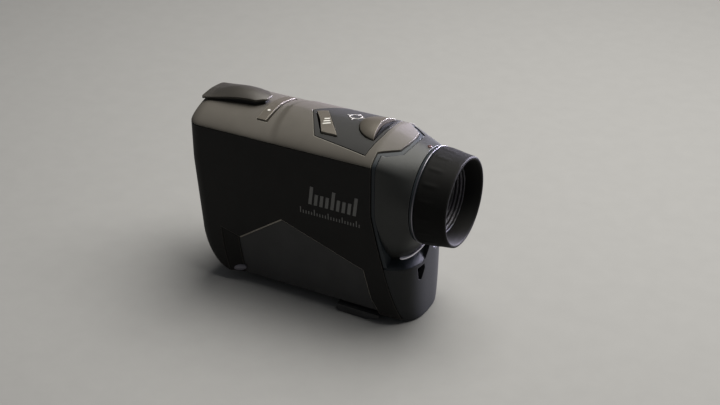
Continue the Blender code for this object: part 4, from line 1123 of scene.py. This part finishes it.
def lens(name, node, body, x, radius, thick, front_sag, rear_sag, z=AXIS_Z):
    """A coated lens whose two faces bulge by their sags. x is the middle of its edge."""
    def face(sag, sign):
        return [
            (x + sign * (thick / 2 + sag * (1 - s * s)), max(0.01, radius * s))
            for s in stations(0.0, 1.0, 14)
        ]
    profile = face(rear_sag, 1) + face(front_sag, -1)[::-1]
    piece(turned(profile, z=z), name, body, "coated_glass", [node])


def optics():
    lens("front_objective", "objective_lens", "housing", -47.0, LENS_R, 2.6, 1.3, 0.6)
    lens("front_emitter", "emitter_lens", "housing", -45.5, EMITTER_R - 0.7, 1.8, 0.9, 0.5, EMITTER_Z)
    lens("rear_eye_lens", "eye_lens", "eyepiece", 40.6, 9.4, 2.4, 1.0, 1.0)
    ring = fillet([(-50.1, 10.8), (-48.9, 10.8), (-48.9, 9.6), (-50.1, 10.2)], 0.15, 2)
    piece(turned(ring), "objective_ring", "housing", "blackened", ["objective_retainer"])


# ---- underside

def latch():
    """Wide thumb slide with grip ribs. Its neck and head stay hidden in the casing."""
    low, high = span("door_latch", "X")
    half = span("door_latch", "Y")[1]
    top, depth = 3.1, 0.45
    side = fillet([(low, 0.9), (low + 1.2, 0.0), (high - 5.6, 0.0), (high - 0.6, 1.9), (high, top),
                   (low, top)], 0.4, 3)
    body = prism(side, -half, half, "Y")
    join(body, box((18.0, 24.0), (-2.5, 2.5), (2.0, 8.0)),
         box((17.2, 24.8), (-4.0, 4.0), (6.6, 9.0)))
    for x in stations(low + 3.0, high - 8.0, 6):
        front, rear = x - depth, x + depth
        groove = [(front, -1.0), (rear, -1.0), (rear, 0.15), (x, depth), (front, 0.15)]
        cut(body, prism(groove, -half + 3.0, half - 3.0, "Y"))
    piece(body, "latch_slide_cap", "latch", "latch", ["door_latch"])


# ---- marks

def side_mark(outline, height):
    """A raised mark on the left side, from an outline of (x, z)."""
    return prism(outline, -HALF_WIDTH - height, -HALF_WIDTH + 0.2, "Y")


def side_marks():
    """A raised graduated scale and a row of fine ticks on the left side: no lettering."""
    left, right, low, high = -0.6, 20.2, 44.6, 52.1
    bars, width, slant, short = 9, 1.35, 0.12, 0.62
    pitch = (right - left) / bars
    for i in range(bars):
        x = left + pitch * i
        tall = high - low if i % 4 == 0 else (high - low) * short
        lean = tall * slant
        bar = [(x, low), (x + width, low), (x + width + lean, low + tall), (x + lean, low + tall)]
        solid = side_mark(bar, 0.16)
        piece(solid, f"scale_bar_{i + 1}", "housing", "marking", edge=0.05)
    ticks, start, reach, foot = 22, left - 3.6, right - left + 3.8, 40.2
    for i in range(ticks):
        x = start + reach * i / (ticks - 1)
        top = foot + (2.4 if i % 5 == 0 else 1.3)
        solid = side_mark([(x, foot), (x + 0.42, foot), (x + 0.42, top), (x, top)], 0.08)
        piece(solid, f"fine_tick_{i + 1}", "housing", "marking")


def draped(name, outline, lift, thick, body):
    """A thin pale plate that follows the top cover's surface at a height above it."""
    piece(patch(outline, lift, lift + thick), name, body, "icon")


def reticle():
    """A plain ring with four ticks, on the panel beside the fire key."""
    x, y = 8.0, 2.8
    radius, line, half_line = 2.5, 0.26, 0.14
    disc = patch(circle((x, y), radius, 40), 0.05, 0.17)
    cut(disc, column(circle((x, y), radius - line, 40)[::-1]))
    piece(disc, "reticle_ring", "housing", "icon")
    near, far = 1.7, 3.6
    tick = [(near, -half_line), (far, -half_line), (far, half_line), (near, half_line)]
    for i in range(4):
        c, s = math.cos(math.pi / 2 * i), math.sin(math.pi / 2 * i)
        outline = [(x + p * c - q * s, y + p * s + q * c) for p, q in tick]
        draped(f"reticle_tick_{i + 1}", outline, 0.05, 0.12, "housing")


def mode_marks():
    """Three plain bars across the mode key, each longer than the last."""
    along, across = Vector((0.42, -0.907)), Vector((0.907, 0.42))
    first, pitch, half_bar = Vector((-0.2, -4.4)), 1.35, 0.35
    for i in range(3):
        middle = first + along * (pitch * i)
        half = 1.0 + 0.25 * i
        corners = [(-half_bar, -half), (half_bar, -half), (half_bar, half), (-half_bar, half)]
        outline = [middle + along * u + across * v for u, v in corners]
        draped(f"mode_mark_{i + 1}", outline, 0.75, 0.1, "mode_key")


def range_dot():
    centre = (sum(span("range_bar", "X")) / 2, -5.5)
    draped("range_mark", circle(centre, 0.55, 20), 0.44, 0.14, "range_key")


def index_dot():
    """Dioptre index: a small dark red dome on the turret's crown, beside the ring."""
    x, y, radius, height, sunk = RING_X - 1.5, 1.1, 0.95, 0.5, 0.15
    base = max(point[2] for point in turret_section(x))
    rings = []
    for t in stations(0.0, 1.0, 6):
        level = base - sunk + height * math.sin(t * math.pi / 2)
        ring = circle((x, y), radius * math.cos(t * math.pi / 2) + 0.01, 24)
        rings.append([(*point, level) for point in ring])
    piece(loft(rings), "index_dome", "housing", "index")


def finish_nodes():
    """Each CAD node that is still shown takes the finish of its material slot."""
    slots = {entry["node"]: entry["material_slot"] for entry in frame["record"]["subparts"]}
    for name, node in frame["nodes"].items():
        node.data.materials.clear()
        node.data.materials.append(LOOKS[slots[name]])


# ---- floor, light and camera

def area_light(name, place, target, size, power, colour, spread=180.0):
    """A soft lamp that the camera doesn't see."""
    light = bpy.data.lights.new(name, "AREA")
    light.shape = "RECTANGLE"
    light.size, light.size_y = size
    light.energy = power
    light.color = colour
    light.spread = math.radians(spread)
    obj = linked(name, light)
    obj.location = place
    direction = Vector(target) - Vector(place)
    obj.rotation_euler = direction.to_track_quat("-Z", "Y").to_euler()
    obj.visible_camera = False
    return obj


def backdrop():
    """Dim even light all round, which the camera sees as a pale wall."""
    world = bpy.data.worlds.new("studio")
    world.use_nodes = True
    nodes, links = world.node_tree.nodes, world.node_tree.links
    background = nodes["Background"]
    background.inputs["Color"].default_value = (0.80, 0.82, 0.86, 1.0)
    strength = nodes.new("ShaderNodeMapRange")
    strength.inputs["To Min"].default_value = WORLD_LIGHT
    strength.inputs["To Max"].default_value = WALL_LIGHT
    links.new(nodes.new("ShaderNodeLightPath").outputs["Is Camera Ray"], strength.inputs["Value"])
    links.new(strength.outputs["Result"], background.inputs["Strength"])
    bpy.context.scene.world = world


def add_floor():
    bm = bmesh.new()
    bmesh.ops.create_grid(bm, x_segments=8, y_segments=8, size=1.6)
    mesh = bpy.data.meshes.new("floor")
    bm.to_mesh(mesh)
    bm.free()
    floor = linked("floor", mesh)
    floor.location.z = -0.0001
    mesh.materials.append(finish("floor_paint", (0.34, 0.34, 0.336), 0.9, grain=2.0, depth=0.02,
                                 mottle=0.015, specular=0.2))
    return floor


def add_lights(floor):
    """A warm key from above and a cool rim from the far side, which leaves the floor out."""
    area_light("key", place=(0.12, 0.20, 0.58), target=(0.0, 0.0, 0.05), size=(0.60, 0.50), power=6.5,
               colour=(1.0, 0.97, 0.92))
    rim = area_light("rim", place=(0.22, 0.48, 0.14), target=(0.04, 0.0, 0.03), size=(0.30, 0.20),
                     power=1.6, colour=(0.84, 0.80, 1.0), spread=60.0)
    spared = bpy.data.collections.new("spared_by_rim")
    spared.objects.link(floor)
    spared.collection_objects[0].light_linking.link_state = "EXCLUDE"
    rim.light_linking.receiver_collection = spared


def add_camera():
    """The photograph's camera, solved from the eyecup's rim and the body's straight edges."""
    camera = linked("camera", bpy.data.cameras.new("camera"))
    camera.data.lens = 65.0
    camera.data.sensor_width = 36.0
    camera.data.clip_start = 0.01
    place = Vector((0.21185, -0.37610, 0.28110))
    right = Vector((0.8821, 0.4710, 0.0)).normalized()
    back = Vector((0.4095, -0.7670, 0.4939)).normalized()
    axes = Matrix((right, back.cross(right), back)).transposed()
    camera.matrix_world = Matrix.Translation(place) @ axes.to_4x4()
    bpy.context.scene.camera = camera
    bpy.context.scene.view_settings.view_transform = "Standard"


def main():
    for side in (-1, 1):
        armour(side)
        nose_highlight_pad(side)
    front_bezel()
    top_cover()
    control_panel()
    hood()
    fire_parts()
    other_buttons()
    rear_cover()
    turret()
    trim_frame()
    chin_highlight_bead()
    dioptre_ring()
    eyecup()
    eyepiece_cell()
    optics()
    latch()
    side_marks()
    reticle()
    mode_marks()
    range_dot()
    index_dot()
    finish_nodes()
    floor = add_floor()
    backdrop()
    add_lights(floor)
    add_camera()


main()
